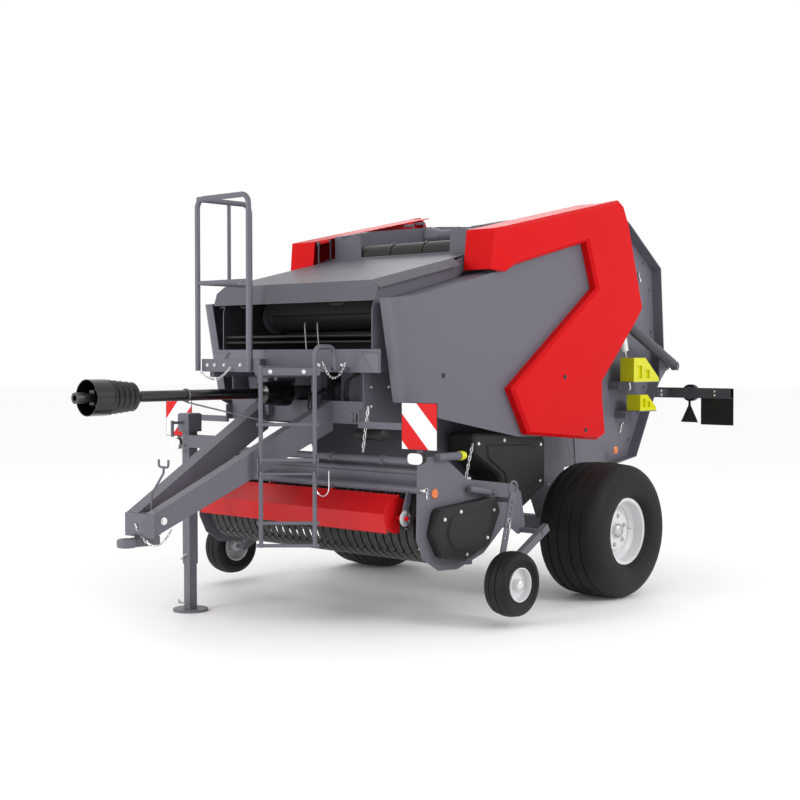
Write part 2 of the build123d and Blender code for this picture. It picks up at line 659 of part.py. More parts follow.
def platform():
    deck = plan_plate(deck_outline(), DECK_Z, DECK_Z + DECK_T)
    toe = plan_plate(deck_outline(DECK_T), TOE_FOOT, TOE_TOP) - plan_plate(deck_outline(), TOE_FOOT, TOE_TOP)
    toe -= block(DECK_HALF + 8, DECK_LEFT + 400, DECK_FRONT - 130, DECK_BACK + 1, DECK_Z + DECK_T, TOE_TOP)
    toe -= block(-DECK_HALF + 1, DECK_LEFT + 4, DECK_BACK - 2, DECK_BACK + 1, TOE_FOOT - 1, TOE_TOP + 1)
    arms = []
    for x in (40 - DECK_HALF, DECK_HALF - 40):
        arms.append(block(x - 20, x + 20, DECK_FRONT + 40, DECK_BACK, DECK_Z - 60, DECK_Z))
        arms.append(block(x - 20, x + 20, FRONT_BEAM_Y - 50, FRONT_BEAM_Y, FRONT_BEAM_Z + 40, DECK_Z - 40))
    return Part() + [deck, toe] + arms


def guard_rail():
    x0 = -DECK_HALF - DECK_T - RAIL_R
    y0 = DECK_FRONT - DECK_T - RAIL_R
    x1 = x0 + RAIL_SPAN
    foot = TOE_FOOT + 5
    front = pipe([(x0, y0, foot), (x0, y0, RAIL_TOP), (x1, y0, RAIL_TOP), (x1, y0, foot)], RAIL_R, 60)
    side = pipe([(x0, y0 + 5, RAIL_TOP), (x0, RAIL_BACK, RAIL_TOP), (x0, RAIL_BACK, foot)], RAIL_R, 60)
    mid_post = bar_z(RAIL_THIN_R - 1, x0, y0 + 260, RAIL_KNEE, RAIL_TOP)
    knee_front = bar_x(RAIL_THIN_R, x0, x1, y0, RAIL_KNEE)
    knee_side = bar_y(RAIL_THIN_R, x0, y0 + 5, RAIL_BACK, RAIL_KNEE)
    return front + side + mid_post + knee_front + knee_side


def ladder_point(share, z, out=0):
    """Point on the ladder's plane: share 0 at the left stile and 1 at the right one."""
    (x0, y0), (x1, y1) = LADDER_LEFT, LADDER_RIGHT
    width = math.hypot(x1 - x0, y1 - y0)
    nx, ny = (y1 - y0) / width, -(x1 - x0) / width
    return (x0 + share * (x1 - x0) + out * nx, y0 + share * (y1 - y0) + out * ny, z)


def rung(z):
    return rod(ladder_point(-0.08, z), ladder_point(1.08, z), RUNG_R)


def ladder_cheek(share):
    """Flat hinge plate beside a stile, with the fold's pin hole."""
    start = ladder_point(share, LADDER_PIVOT_Z + 45)
    along = Vector(*ladder_point(1, 0)) - Vector(*ladder_point(0, 0))
    plane = Plane(origin=start, x_dir=(0, 0, 1), z_dir=along)
    section = Rectangle(134, 32) - Pos(-45, 0) * Circle(LADDER_PIN_R + RUN_CLEAR)
    return extrude(plane * section, amount=6)


def ladder_upper():
    stile_foot = LADDER_PIVOT_Z + 66
    behind = -(RAIL_R + 19.5)
    parts = [ladder_cheek(-0.066), ladder_cheek(1.048)]
    parts.append(rod(ladder_point(0, stile_foot), ladder_point(0, DECK_Z + 15), LADDER_R))
    (x1, y1) = LADDER_RIGHT
    edge = DECK_LEFT + DECK_T + SEAT_CLEAR + LADDER_R
    parts.append(pipe([(x1, y1, stile_foot), (x1, y1, LADDER_GRIP_Z), (edge, DECK_BACK - 140, LADDER_GRIP_Z),
                       (edge, DECK_BACK - 140, DECK_Z - 10)], LADDER_R, 55))
    for share in (0.2, 0.8):
        parts.append(rod(ladder_point(share, DECK_Z - 12), ladder_point(share, DECK_Z - 12, behind), 9))
    for z in (LADDER_PIVOT_Z + LADDER_PITCH, LADDER_PIVOT_Z + 84):
        parts.append(rung(z))
    parts.append(beam(ladder_point(-0.1, DECK_Z - 22), ladder_point(1.1, DECK_Z - 22), 12, 44))
    return Part() + parts


def ladder_lower():
    parts = [rung(LADDER_PIVOT_Z - LADDER_PITCH), rung(LADDER_FOOT + RUNG_R)]
    for share in (0, 1):
        parts.append(rod(ladder_point(share, LADDER_FOOT), ladder_point(share, LADDER_PIVOT_Z + 14), LADDER_R))
    parts.append(rod(ladder_point(-0.1, LADDER_PIVOT_Z), ladder_point(1.1, LADDER_PIVOT_Z), LADDER_PIN_R))
    return Part() + parts


# Net box and hood

def net_box():
    floor_top = BOX_FLOOR + BOX_SHEET
    back = block(-BOX_HALF, BOX_HALF, BOX_BACK, BOX_BACK + BOX_SHEET, BOX_FLOOR, BOX_CHEEK_TOP + 60)
    floor = block(-BOX_HALF, BOX_HALF, BOX_FRONT, BOX_BACK + BOX_SHEET, BOX_FLOOR, floor_top)
    sill_half = COVER_FRONT_X - 12
    sill = block(-sill_half, sill_half, BOX_FRONT - 8, BOX_FRONT, BOX_SILL, floor_top)
    fold = front_plate([(BOX_HALF - 80, floor_top - 20), (BOX_HALF + 30, BOX_SILL), (sill_half, BOX_SILL),
                        (sill_half, floor_top - 30)], BOX_FRONT - 24, BOX_FRONT - 8)
    fold = chamfer(fold.faces().sort_by(Axis.Y)[0].edges().sort_by(Axis.X)[0], 14)
    cheek_line = [(BOX_FRONT, BOX_SILL), (BOX_FRONT, BOX_CHEEK_TOP - 160), (BOX_FRONT + 40, BOX_CHEEK_TOP - 25),
                  (BOX_BACK + 5, BOX_CHEEK_TOP + 140), (BOX_BACK + 5, BOX_SILL)]
    cheek = side_plate(cheek_line, BOX_HALF, BOX_HALF + 6)
    stay = block(WALL_IN, BOX_HALF, -1300, -1180, BOX_SILL, BOX_SILL + 10)
    hinge_y = HOOD_REAR[0] + 6
    hinge_z = HOOD_REAR[1]
    pin = bar_x(HOOD_PIN_R, -BOX_HALF - 10, BOX_HALF + 10, hinge_y, hinge_z)
    ear_line = [(BOX_BACK + 5, BOX_CHEEK_TOP + 60), (BOX_BACK + 5, BOX_CHEEK_TOP + 180),
                (hinge_y - 16, hinge_z + 12), (hinge_y + 16, hinge_z + 12), (hinge_y + 16, hinge_z - 20)]
    ear = side_plate(ear_line, BOX_HALF, BOX_HALF + 6)
    side = cheek + stay + ear + fold + cover_bracket(COVER_HINGE_SHARES[0], BOX_HALF, 260)
    return back + floor + sill + pin + side + other_side(side)


def net_rollers():
    half = BOX_HALF - SEAT_CLEAR
    wall_half = WALL_IN - SEAT_CLEAR
    top = bar_x(TOP_ROLLER_R, -wall_half, wall_half, *TOP_ROLLER_PLACE)
    for x in (-450, -150, 150, 450):
        top += bar_x(TOP_ROLLER_R + 3, x - 8, x + 8, *TOP_ROLLER_PLACE)
    spool = bar_x(55, -half, half, -1500, 2000)
    brake = bar_x(38, -half, half, -1350, 1830)
    bars = [bar_x(9, -half, half, BOX_FRONT + 25, z) for z in (BOX_FLOOR + 52, BOX_FLOOR + 90)]
    return Part() + [top, spool, brake] + bars


def hood_flap():
    """Side of the hood that slopes down and outwards, with the end of the lip."""
    slope = (HOOD_REAR[1] - HOOD_FOLD[1]) / (HOOD_REAR[0] - HOOD_FOLD[0])
    back_z = HOOD_FOLD[1] + (HOOD_FLAP_BACK - HOOD_FOLD[0]) * slope
    section = front_plate([(HOOD_HALF - 1, 0), (HOOD_HALF - 1, -BOX_SHEET), (HOOD_FLAP, -HOOD_FLAP_DROP - BOX_SHEET),
                           (HOOD_FLAP, -HOOD_FLAP_DROP)], -1, 0)
    end = section.faces().sort_by(Axis.Y)[-1]
    run = Vector(0, HOOD_FOLD[0] - HOOD_FLAP_BACK, HOOD_FOLD[1] - back_z)
    top = Pos(0, HOOD_FLAP_BACK, back_z) * extrude(end, amount=run.length, dir=run)
    drop_y = HOOD_LIP[0] - HOOD_FOLD[0]
    drop_z = HOOD_LIP[1] - HOOD_FOLD[1]
    low = -math.hypot(drop_y, drop_z)
    lip = front_plate([(HOOD_HALF - 1, 0), (HOOD_HALF - 1, low), (HOOD_FLAP, low), (HOOD_FLAP, -HOOD_FLAP_DROP)],
                      0, BOX_SHEET)
    lean = math.degrees(math.atan2(drop_y, drop_z)) + 180
    return top + Pos(0, *HOOD_FOLD) * Rot(-lean, 0, 0) * lip


def net_hood():
    hinge = (HOOD_REAR[0] + 6, HOOD_REAR[1])
    roof = folded_sheet([HOOD_REAR, HOOD_FOLD, HOOD_LIP], -HOOD_HALF, HOOD_HALF, BOX_SHEET)
    roof += hood_flap() + other_side(hood_flap())
    knuckle = bar_x(HOOD_KNUCKLE_R, -HOOD_HALF, HOOD_HALF, *hinge)
    return roof + knuckle - bar_x(HOOD_PIN_R + RUN_CLEAR, -HOOD_HALF - 1, HOOD_HALF + 1, *hinge)


# Side covers

COVER_TOP = [(-1740, 2045), (-980, 2225), (30, 2500)]
COVER_FOOT = [(-756, 1137), (-1553, 1283), (-1880, 1405)]


def nose_body(inset):
    """Solid of the grey cover, its round front leaning; inset draws in the front, top and outside."""
    front = COVER_FRONT_Y + inset
    out = COVER_X - inset
    inside = COVER_FRONT_X - (1 if inset else 0)
    low = 60 if inset else 0
    wide, long = COVER_ROUND
    corner = Bezier((out - wide + inset, front), (out - wide / 4, front), (out, front + long / 4),
                    (out, front + long))
    plan = Polyline((out, front + long), (out, 900), (inside, 900), (inside, front), (out - wide + inset, front))
    rise = Vector(0, -COVER_LEAN, 1)
    face = Pos(0, COVER_LEAN * 1000, 1000) * make_face([corner, plan])
    body = extrude(face, amount=1600 * rise.length, dir=rise)
    top = [(y, z - inset) for y, z in COVER_TOP]
    rear = [(80 + low, 2170), (230 + low, 2160), (140 + low, 1500), (180 + low, 1100 - low)]
    foot = [(y, z - low) for y, z in COVER_FOOT] + [(front - 150, 1405 - low)]
    behind = [(90, 2500)] if inset else []
    return body & side_plate([(front - 150, 2010 - inset)] + top + behind + rear + foot, inside, out)


def cover_panel():
    """Grey shell, open inwards and below, from the nose to behind the band."""
    shell = nose_body(0) - nose_body(COVER_T)
    shell = shell.solids().sort_by(SortBy.VOLUME)[-1]
    edge = [(COVER_FRONT_Y + 60, 2045 - 40)] + COVER_TOP[:2]
    return shell + folded_sheet(edge, COVER_HINGE_X + 12, COVER_FRONT_X + 1, -COVER_T)


def hinge_line(share, shift=0):
    """Point on the cover's hinge line; shift runs along the line in millimetres."""
    (y0, z0), (y1, z1) = COVER_HINGE_FRONT, COVER_HINGE_BACK
    length = math.hypot(y1 - y0, z1 - z0)
    place = share + shift / length
    return (COVER_HINGE_X, y0 + place * (y1 - y0), z0 + place * (z1 - z0))


def cover_knuckles():
    parts = []
    for share in COVER_HINGE_SHARES:
        ends = (hinge_line(share), hinge_line(share, COVER_KNUCKLE_L))
        bore = rod(hinge_line(share, -1), hinge_line(share, COVER_KNUCKLE_L + 1), COVER_PIN_R + RUN_CLEAR)
        sleeve = rod(*ends, COVER_KNUCKLE_R) - bore
        strap = Pos(COVER_KNUCKLE_R + 4, 0, 4) * beam(*ends, 16, 14)
        parts.append(sleeve + (strap - rod(*ends, COVER_PIN_R + 2)))
    return Part() + parts


def cover_bracket(share, x0, drop):
    """Pin of one cover hinge and the two posts that carry it, standing on a plate at x0."""
    near = -HINGE_CLEAR - 20
    far = COVER_KNUCKLE_L + HINGE_CLEAR + 8
    parts = [rod(hinge_line(share, near), hinge_line(share, far + 10), COVER_PIN_R)]
    for shift in (near, far):
        x, y, z = hinge_line(share, shift)
        parts.append(block(x0, COVER_HINGE_X + 8, y, y + 10, z - 10, z + 10))
        parts.append(block(x0, x0 + 6, y, y + 10, z - drop, z))
    return Part() + parts


BAND_OUTLINE = [LOBE_LOW, LOBE_FRONT, (345, 2790), (405, 2757), (475, 2625), (665, 2020), (575, 1915),
                (145, 1490), (145, 1390), (185, 1115), (85, 1080), (-715, 1150), (-905, 1460),
                (70, 2150), (-50, 2470), (-860, 2272), (-960, 2222)]


def cover_band():
    """Red moulding: a hollow angular band whose front lobe and top edge wrap in to the hinge."""
    base = COVER_X + COVER_T / 2 - 2
    plate = side_plate(BAND_OUTLINE, base, BAND_OUT)
    plate = chamfer(plate.faces().sort_by(Axis.X)[-1].edges(), BAND_CHAMFER)
    plate -= lobe_cut(0)
    core_face = Plane.YZ * offset(make_face(Polyline(*BAND_OUTLINE, close=True)), amount=-BAND_CHAMFER)
    core = Pos(base - 1, 0, 0) * extrude(core_face, amount=BAND_OUT - BAND_WALL - base + 1)
    plate -= core - lobe_cut(BAND_WALL)
    wrap = folded_sheet([LOBE_LOW, LOBE_FRONT, WRAP_END], COVER_HINGE_X + 12, base + 8, -6)
    return plate + wrap + cover_knuckles()


def lobe_cut(wall):
    """Wedge that bevels the lobe's outer front corner; wall moves it inwards."""
    y = LOBE_LOW[0]
    depth = BAND_OUT - COVER_X - 20
    points = [(BAND_OUT + 30, y - 60), (BAND_OUT + 30, y + LOBE_BEVEL + wall * 3), (BAND_OUT, y + LOBE_BEVEL + wall * 3),
              (BAND_OUT - depth - wall, y - 1), (BAND_OUT - depth - wall, y - 60)]
    return plan_plate(points, LOBE_LOW[1] - 40, LOBE_FRONT[1] + 80)


# Pickup

PICKUP_OUTLINE = [(-1870, 1060), (-1640, 1060), (-1400, 900), (-930, 840), (-850, 780), (-805, 560),
                  (-870, 500), (-1010, 590), (-1240, 420), (-1500, 345), (-1680, 355), (-1820, 440), (-1880, 560)]


def pickup_frame():
    """Side plates, front and rear beams, the curved shield between them and the parking tube."""
    outside = PICKUP_HALF + PLATE_T
    plate = side_plate(PICKUP_OUTLINE, PICKUP_HALF, outside, 28)
    plate -= bar_x(PIVOT_R + RUN_CLEAR, PICKUP_HALF - 1, outside + 1, PIVOT_Y, PIVOT_Z)
    plate -= bar_x(REEL_SHAFT_R + RUN_CLEAR, PICKUP_HALF - 1, outside + 1, REEL_Y, REEL_Z)
    plate -= bar_x(GUARD_PIN_R + RUN_CLEAR, PICKUP_HALF - 1, outside + 1, *GUARD_PIVOT)
    top = bar_x(24, -PICKUP_HALF, PICKUP_HALF, -1832, 1030) + bar_x(19, -PICKUP_HALF, PICKUP_HALF, *SHIELD_TUBE)
    rear_y = REEL_Y + STRIP_BACK
    rear = block(-PICKUP_HALF, PICKUP_HALF, rear_y, rear_y + 40, REEL_Z + STRIP_R - 30, REEL_Z + STRIP_R + 20)
    low = block(-PICKUP_HALF, PICKUP_HALF, rear_y, rear_y + 40, REEL_Z - STRIP_R - 25, REEL_Z - STRIP_R + 23)
    tube_y, tube_z = SHIELD_TUBE
    arc = ThreePointArc((tube_y + 10, tube_z + 5), (-1580, tube_z - 5), (rear_y + 30, REEL_Z + STRIP_R + 17))
    sheet = make_face(offset(arc, amount=2, side=Side.BOTH))
    shield = Pos(-PICKUP_HALF, 0, 0) * extrude(Plane.YZ * sheet, amount=2 * PICKUP_HALF)
    parking = bar_y(25, outside + 22, -1716, -1470, 1055)
    return plate + other_side(plate) + top + rear + low + shield + parking


def strips():
    """Bands bent round the reel, with the tines' slots between them."""
    inner_r = STRIP_R - STRIP_T / 2
    outer_r = STRIP_R + STRIP_T / 2
    back = STRIP_BACK - SEAT_CLEAR
    ring = Circle(outer_r) - Circle(inner_r) - Pos(outer_r, 0) * Rectangle(2 * outer_r, 3 * outer_r)
    legs = [Pos(back / 2, side * STRIP_R) * Rectangle(back, STRIP_T) for side in (1, -1)]
    band = extrude(Plane.YZ * (ring + legs), amount=STRIP_W)
    placed = Pos(-STRIP_W / 2, REEL_Y, REEL_Z) * band
    places = range(-STRIP_SIDE, STRIP_SIDE + 1)
    return Compound(children=[Pos(i * STRIP_PITCH, 0, 0) * placed for i in places])


def tine_pair(turn):
    """Tine bar at one place round the reel, with a bent tine in every slot."""
    angle = math.radians(turn)
    lean = angle - math.radians(7)
    half = PICKUP_HALF
    y = REEL_Y + TINE_BAR_PLACE * math.cos(angle)
    z = REEL_Z + TINE_BAR_PLACE * math.sin(angle)
    parts = [bar_x(TINE_BAR_R, 20 - half, half - 20, y, z)]
    for i in range(-STRIP_SIDE, STRIP_SIDE):
        x = (i + 0.5) * STRIP_PITCH
        knee = (x, REEL_Y + TINE_KNEE_R * math.cos(angle), REEL_Z + TINE_KNEE_R * math.sin(angle))
        tip = (x, REEL_Y + TINE_TIP_R * math.cos(lean), REEL_Z + TINE_TIP_R * math.sin(lean))
        parts.append(beam((x, y, z), knee, TINE_T, TINE_T))
        parts.append(beam(knee, tip, TINE_T, TINE_T))
    return parts


def reel():
    half = PICKUP_HALF
    end = half + PLATE_T - 1
    parts = [bar_x(REEL_SHAFT_R, -end, end, REEL_Y, REEL_Z), bar_x(38, 10 - half, half - 10, REEL_Y, REEL_Z)]
    for x in (50 - half, -half / 3, half / 3, half - 50):
        parts.append(bar_x(TINE_BAR_PLACE + 22, x - 3, x + 3, REEL_Y, REEL_Z))
    for i in range(TINE_BARS):
        parts += tine_pair(45 + i * 360 / TINE_BARS)
    return Part() + parts


def wind_guard():
    """Folded red sheet with round ends, hung by arms from its tube."""
    y, z = GUARD_PIVOT
    sheet = folded_sheet(GUARD_LINE, -GUARD_HALF, GUARD_HALF, 4)
    parts = [sheet, bar_x(GUARD_TUBE_R, 2 - PICKUP_HALF, PICKUP_HALF - 2, y, z)]
    parts.append(bar_x(GUARD_PIN_R, -PICKUP_HALF - PLATE_T, PICKUP_HALF + PLATE_T, y, z))
    for x in (-GUARD_HALF / 3, GUARD_HALF / 3):
        parts.append(block(x - 4, x + 4, y - 30, y, z - 60, z - 10))
    disc = bar_x(GUARD_DISC_R, GUARD_HALF - 2, GUARD_HALF + 4, *GUARD_DISC)
    disc -= bar_x(TINE_TIP_R + 14, GUARD_HALF - 9, GUARD_HALF + 9, REEL_Y, REEL_Z)
    arm_x = GUARD_HALF + 60
    arm_end = (GUARD_DISC[0] + 5, GUARD_DISC[1] - 14)
    arm = side_plate([(y - 22, z), (y + 22, z), (arm_end[0] + 24, arm_end[1]), (arm_end[0] - 30, arm_end[1])],
                     arm_x, arm_x + 8)
    arm += bar_x(34, arm_x, arm_x + 8, *arm_end) + bar_x(11, GUARD_HALF, arm_x + 26, *arm_end)
    side = disc + arm
    return Part() + parts + [side, other_side(side)]


def gauge_arm():
    """Leading arm of one gauge wheel, with its pivot, height adjuster and axle pin."""
    outside = PICKUP_HALF + PLATE_T
    adjuster_x = GAUGE_ARM_X - 28
    hub = bar_x(GAUGE_PIN_R, GAUGE_ARM_X - 10, GAUGE_X + 55, GAUGE_Y, GAUGE_Z)
    arm = beam((GAUGE_ARM_X, GAUGE_Y, GAUGE_Z), (GAUGE_ARM_X, *GAUGE_ARM_END), GAUGE_ARM_W - 10, GAUGE_ARM_W)
    pivot = bar_x(18, outside, GAUGE_ARM_X + 26, *GAUGE_PIVOT)
    adjuster = side_plate([(-1145, 800), (-1085, 800), (-1215, 340), (-1275, 330)], adjuster_x, adjuster_x + 8)
    for i in range(7):
        share = 0.12 + 0.08 * i
        adjuster -= bar_x(8, adjuster_x - 1, adjuster_x + 9, -1115 - share * 130, 800 - share * 465)
    grip = bar_x(46, adjuster_x, adjuster_x + 8, -1112, 838, 32)
    stay = block(outside, adjuster_x + 1, -1125, -1095, 740, 770)
    return Part() + [hub, arm, pivot, adjuster, grip, stay]


def gauge_tyre():
    half = GAUGE_W / 2
    seat = GAUGE_RIM_R + SEAT_CLEAR
    side = [(0, GAUGE_R), (half - 18, GAUGE_R - 10), (half, GAUGE_R - 45), (half - 4, seat + 24), (half - 20, seat)]
    section = side[1:] + [(-x, r) for x, r in reversed(side[1:])] + [side[0]]
    return Pos(GAUGE_X, GAUGE_Y, GAUGE_Z) * revolve(make_face(Polyline(*section, close=True)), axis=Axis.X)


def gauge_rim():
    half = GAUGE_W / 2 - 12
    barrel = bar_x(GAUGE_RIM_R, -half, half, 0, 0, GAUGE_RIM_R - 5)
    disc = bar_x(GAUGE_RIM_R - 5, 20, 26, 0, 0, GAUGE_HUB_R)
    hub = bar_x(GAUGE_HUB_R, -half, half - 10, 0, 0, GAUGE_PIN_R + RUN_CLEAR)
    return Pos(GAUGE_X, GAUGE_Y, GAUGE_Z) * (barrel + disc + hub)


def pressed_cover(outline, x0, x1, corner, raised):
    """Moulded chain cover with rounded corners and a raised inner field."""
    body = side_plate(outline, x0, x1, corner)
    body = chamfer(body.faces().sort_by(Axis.X)[-1].edges(), 16)
    middle_y = sum(p[0] for p in outline) / len(outline)
    middle_z = sum(p[1] for p in outline) / len(outline)
    inner = [(middle_y + (y - middle_y) * 0.68, middle_z + (z - middle_z) * 0.68) for y, z in outline]
    field = side_plate(inner, x1 - 2, x1 + raised, corner * 0.6)
    return body + chamfer(field.faces().sort_by(Axis.X)[-1].edges(), raised - 2)


def reel_drive_cover():
    outline = [(-1795, 585), (-1745, 742), (-1200, 780), (-1155, 690), (-1270, 480), (-1500, 402), (-1710, 440)]
    return pressed_cover(outline, PICKUP_HALF + PLATE_T, PICKUP_HALF + 88, 48, 12)


def rotor_drive_cover():
    inside = WALL_IN + WALL_T
    outline = [(-1180, 1175), (-560, 1150), (-390, 1115), (-390, 775), (-620, 660), (-850, 640), (-895, 880),
               (-1150, 1030)]
    body = pressed_cover(outline, inside + 60, PICKUP_HALF - 132, 34, 12)
    return body + block(inside, inside + 61, -760, -700, 700, 1000)


def pickup_pivots():
    inside = WALL_IN + WALL_T
    pin = bar_x(PIVOT_R, inside, PICKUP_HALF + PLATE_T + 15, PIVOT_Y, PIVOT_Z)
    side = pin + bar_x(48, inside, PICKUP_HALF - 12, PIVOT_Y, PIVOT_Z)
    return side + other_side(side)


def feed_rotor():
    half = WALL_IN - 10
    end = WALL_IN + WALL_T - 1
    parts = [bar_x(60, -half, half, PIVOT_Y, PIVOT_Z), bar_x(ROTOR_SHAFT_R, -end, end, PIVOT_Y, PIVOT_Z)]
    star = make_face(Polyline((150, 0), (20, 75), (-150, 0), (-20, -75), close=True))
    for i in range(-4, 5):
        parts.append(Pos(i * 130, PIVOT_Y, PIVOT_Z) * Rot(i * 25, 0, 0) * extrude(Plane.YZ * star, amount=8))
    return Part() + parts


# Tailgate furniture

def light_bar():
    z0 = REAR_BAR_Z - REAR_BAR_H / 2
    back = REAR_BAR_Y + REAR_BAR_D
    bar = block(-REAR_BAR_HALF, REAR_BAR_HALF, REAR_BAR_Y, back, z0, z0 + REAR_BAR_H)
    bar -= block(-REAR_BAR_HALF - 1, REAR_BAR_HALF + 1, REAR_BAR_Y + 4, back + 1, z0 + 4, z0 + REAR_BAR_H - 4)
    arm = block(FLANGE_OUT, FLANGE_OUT + 8, 1300, REAR_BAR_Y + 1, REAR_BAR_Z - 30, REAR_BAR_Z + 30)
    boss = bar_y(LAMP_R - 20, LAMP_X, REAR_BAR_Y + 1, back, REAR_BAR_Z)
    return Part() + [bar, arm, other_side(arm), boss, other_side(boss)]


def rear_lamps():
    """Round lamp and the reflector triangle that hangs below it."""
    back = REAR_BAR_Y + REAR_BAR_D + SEAT_CLEAR
    lamp = bar_y(LAMP_R, LAMP_X, back, back + LAMP_D - SEAT_CLEAR, REAR_BAR_Z)
    stem = block(LAMP_X - 9, LAMP_X + 9, back, back + 8, REAR_BAR_Z - LAMP_R - 40, REAR_BAR_Z - LAMP_R + 10)
    top = REAR_BAR_Z - LAMP_R - 15
    triangle = front_plate([(LAMP_X, top), (LAMP_X + 75, top - 150), (LAMP_X - 75, top - 150)], back, back + 9)
    side = lamp + stem + triangle
    return side + other_side(side)


def board(y, z):
    plate = block(BOARD_X - BOARD / 2, BOARD_X + BOARD / 2, y, y + BOARD_T, z - BOARD / 2, z + BOARD / 2)
    return plate + other_side(plate)


# Cylinder

def cylinder_line(distance):
    """Point at a distance from the rear pin towards the front pin."""
    (y0, z0), (y1, z1) = CYL_REAR, CYL_FRONT
    length = math.hypot(y1 - y0, z1 - z0)
    return (CYL_X, y0 + (y1 - y0) * distance / length, z0 + (z1 - z0) * distance / length)


def cylinder_barrel():
    neck = CYL_EYE_R + 11
    body = rod(cylinder_line(neck), cylinder_line(CYL_BARREL_L), CYL_BARREL_R)
    body += rod(cylinder_line(CYL_BARREL_L - 60), cylinder_line(CYL_BARREL_L), CYL_BARREL_R + 5)
    body -= rod(cylinder_line(neck + 15), cylinder_line(CYL_BARREL_L + 1), CYL_ROD_R + RUN_CLEAR)
    eye = bar_x(CYL_EYE_R, CYL_X - CYL_EYE_HALF, CYL_X + CYL_EYE_HALF, *CYL_REAR)
    eye += rod(cylinder_line(10), cylinder_line(neck + 5), 22)
    return body + eye - bar_x(CYL_PIN_R + RUN_CLEAR, CYL_X - 60, CYL_X + 60, *CYL_REAR)


def cylinder_rod():
    (y0, z0), (y1, z1) = CYL_REAR, CYL_FRONT
    length = math.hypot(y1 - y0, z1 - z0)
    body = rod(cylinder_line(CYL_BARREL_L - 420), cylinder_line(length - 25), CYL_ROD_R)
    eye = bar_x(CYL_EYE_R, CYL_X - CYL_EYE_HALF, CYL_X + CYL_EYE_HALF, *CYL_FRONT)
    pin = bar_x(CYL_PIN_R, CYL_X - CYL_EYE_HALF - 2.5, CYL_X + CYL_EYE_HALF + 6, *CYL_FRONT)
    return body + eye + pin


def write_wheels():
    pair("tyre", main_tyre())
    pair("rim", main_rim())
    write("axle", axle())
    pair("gauge_tyre", gauge_tyre())
    pair("gauge_rim", gauge_rim())
    write("gauge_arms", gauge_arm() + other_side(gauge_arm()))


def write_chamber():
    pair("chamber_wall", front_wall())
    pair("tailgate_wall", tail_wall())
    write("hinge_tube", hinge_tube())
    write("chamber_rollers_front", rollers([112, 135, 158, 181, 204, 250]))
    write("chamber_rollers_rear", rollers([89, 66, 43, 20, -3, -26, -49, -72]))
    write("tailgate_back", rear_plate())
    write("light_bar", light_bar())
    write("rear_lamps", rear_lamps())
    write("rear_boards", board(REAR_BAR_Y + REAR_BAR_D + SEAT_CLEAR, REAR_BOARD_Z))
    chocks = [wheel_chock(*CHOCK_UPPER, 350, 180), wheel_chock(*CHOCK_LOWER, 220, 120)]
    write("wheel_chocks", Compound(children=chocks))
    pair("cylinder_barrel", cylinder_barrel())
    pair("cylinder_rod", cylinder_rod())


def write_front():
    write("drawbar_left", drawbar_beam())
    write("drawbar_right", other_side(drawbar_beam()))
    write("drawbar_head", drawbar_head())
    write("towing_eye", towing_eye())
    write("hose_hook", hose_hook())
    write("front_frame", front_frame())
    write("front_lamps", front_lamps())
    write("front_boards", board(FRONT_BOARD_Y, FRONT_BOARD_Z))
    write("jack_tube", jack_tube())
    write("jack_leg", jack_leg())
    write("gearbox", gearbox())
    write("drive_shaft", drive_shaft())
    write("shaft_guard", shaft_guard())
    write("shaft_stay", shaft_stay())
    write("platform", platform())
    write("guard_rail", guard_rail())
    write("ladder_upper", ladder_upper())
    write("ladder_lower", ladder_lower())


def write_covers():
    write("net_box", net_box())
    write("net_rollers", net_rollers())
    write("net_hood", net_hood())
    pair("cover_panel", cover_panel())
    pair("cover_band", cover_band())


def write_pickup():
    write("pickup_frame", pickup_frame())
    write("pickup_strips", strips())
    write("pickup_reel", reel())
    write("pickup_pivots", pickup_pivots())
    write("wind_guard", wind_guard())
    write("reel_drive_cover", reel_drive_cover())
    write("rotor_drive_cover", rotor_drive_cover())
    write("feed_rotor", feed_rotor())


def main():
    os.makedirs("parts", exist_ok=True)
    write_wheels()
    write_chamber()
    write_front()
    write_covers()
    write_pickup()


main()
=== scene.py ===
"""Dresses a towed round baler: finishes for every sub-part, small fittings, stage, lights and camera.

Sizes are in metres. Places are given from the main axle's middle, and at() moves them into the frame.
"""

import math

import bmesh
import bpy
import numpy as np
from bpy.props import FloatProperty, FloatVectorProperty, IntProperty, PointerProperty
from bpy.types import Operator, Panel, PropertyGroup
from mathutils import Matrix, Vector


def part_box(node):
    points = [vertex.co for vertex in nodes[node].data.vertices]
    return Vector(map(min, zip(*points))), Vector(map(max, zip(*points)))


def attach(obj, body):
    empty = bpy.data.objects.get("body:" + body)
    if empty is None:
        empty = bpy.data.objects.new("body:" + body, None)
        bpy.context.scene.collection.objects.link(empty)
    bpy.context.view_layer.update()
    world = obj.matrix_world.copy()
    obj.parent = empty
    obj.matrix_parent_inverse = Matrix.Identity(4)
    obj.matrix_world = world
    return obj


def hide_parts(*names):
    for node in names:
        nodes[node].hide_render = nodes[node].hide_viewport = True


bl_info = {
    "name": "Round baler dressing",
    "version": (1, 0, 0),
    "blender": (4, 5, 0),
    "location": "View3D > Sidebar > Baler",
    "description": "Finishes, fittings and stage for the round baler",
    "category": "Object",
}

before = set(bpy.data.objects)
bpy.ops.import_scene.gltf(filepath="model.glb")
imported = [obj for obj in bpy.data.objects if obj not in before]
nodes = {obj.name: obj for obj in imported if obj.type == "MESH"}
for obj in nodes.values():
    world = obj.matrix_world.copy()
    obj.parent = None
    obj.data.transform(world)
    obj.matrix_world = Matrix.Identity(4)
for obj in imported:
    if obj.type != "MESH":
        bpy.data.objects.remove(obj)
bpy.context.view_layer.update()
X = (1, 0, 0)
Y = (0, 1, 0)
Z = (0, 0, 1)
FRONT = (0, -1, 0)
SIDES = ((1, "left"), (-1, "right"))


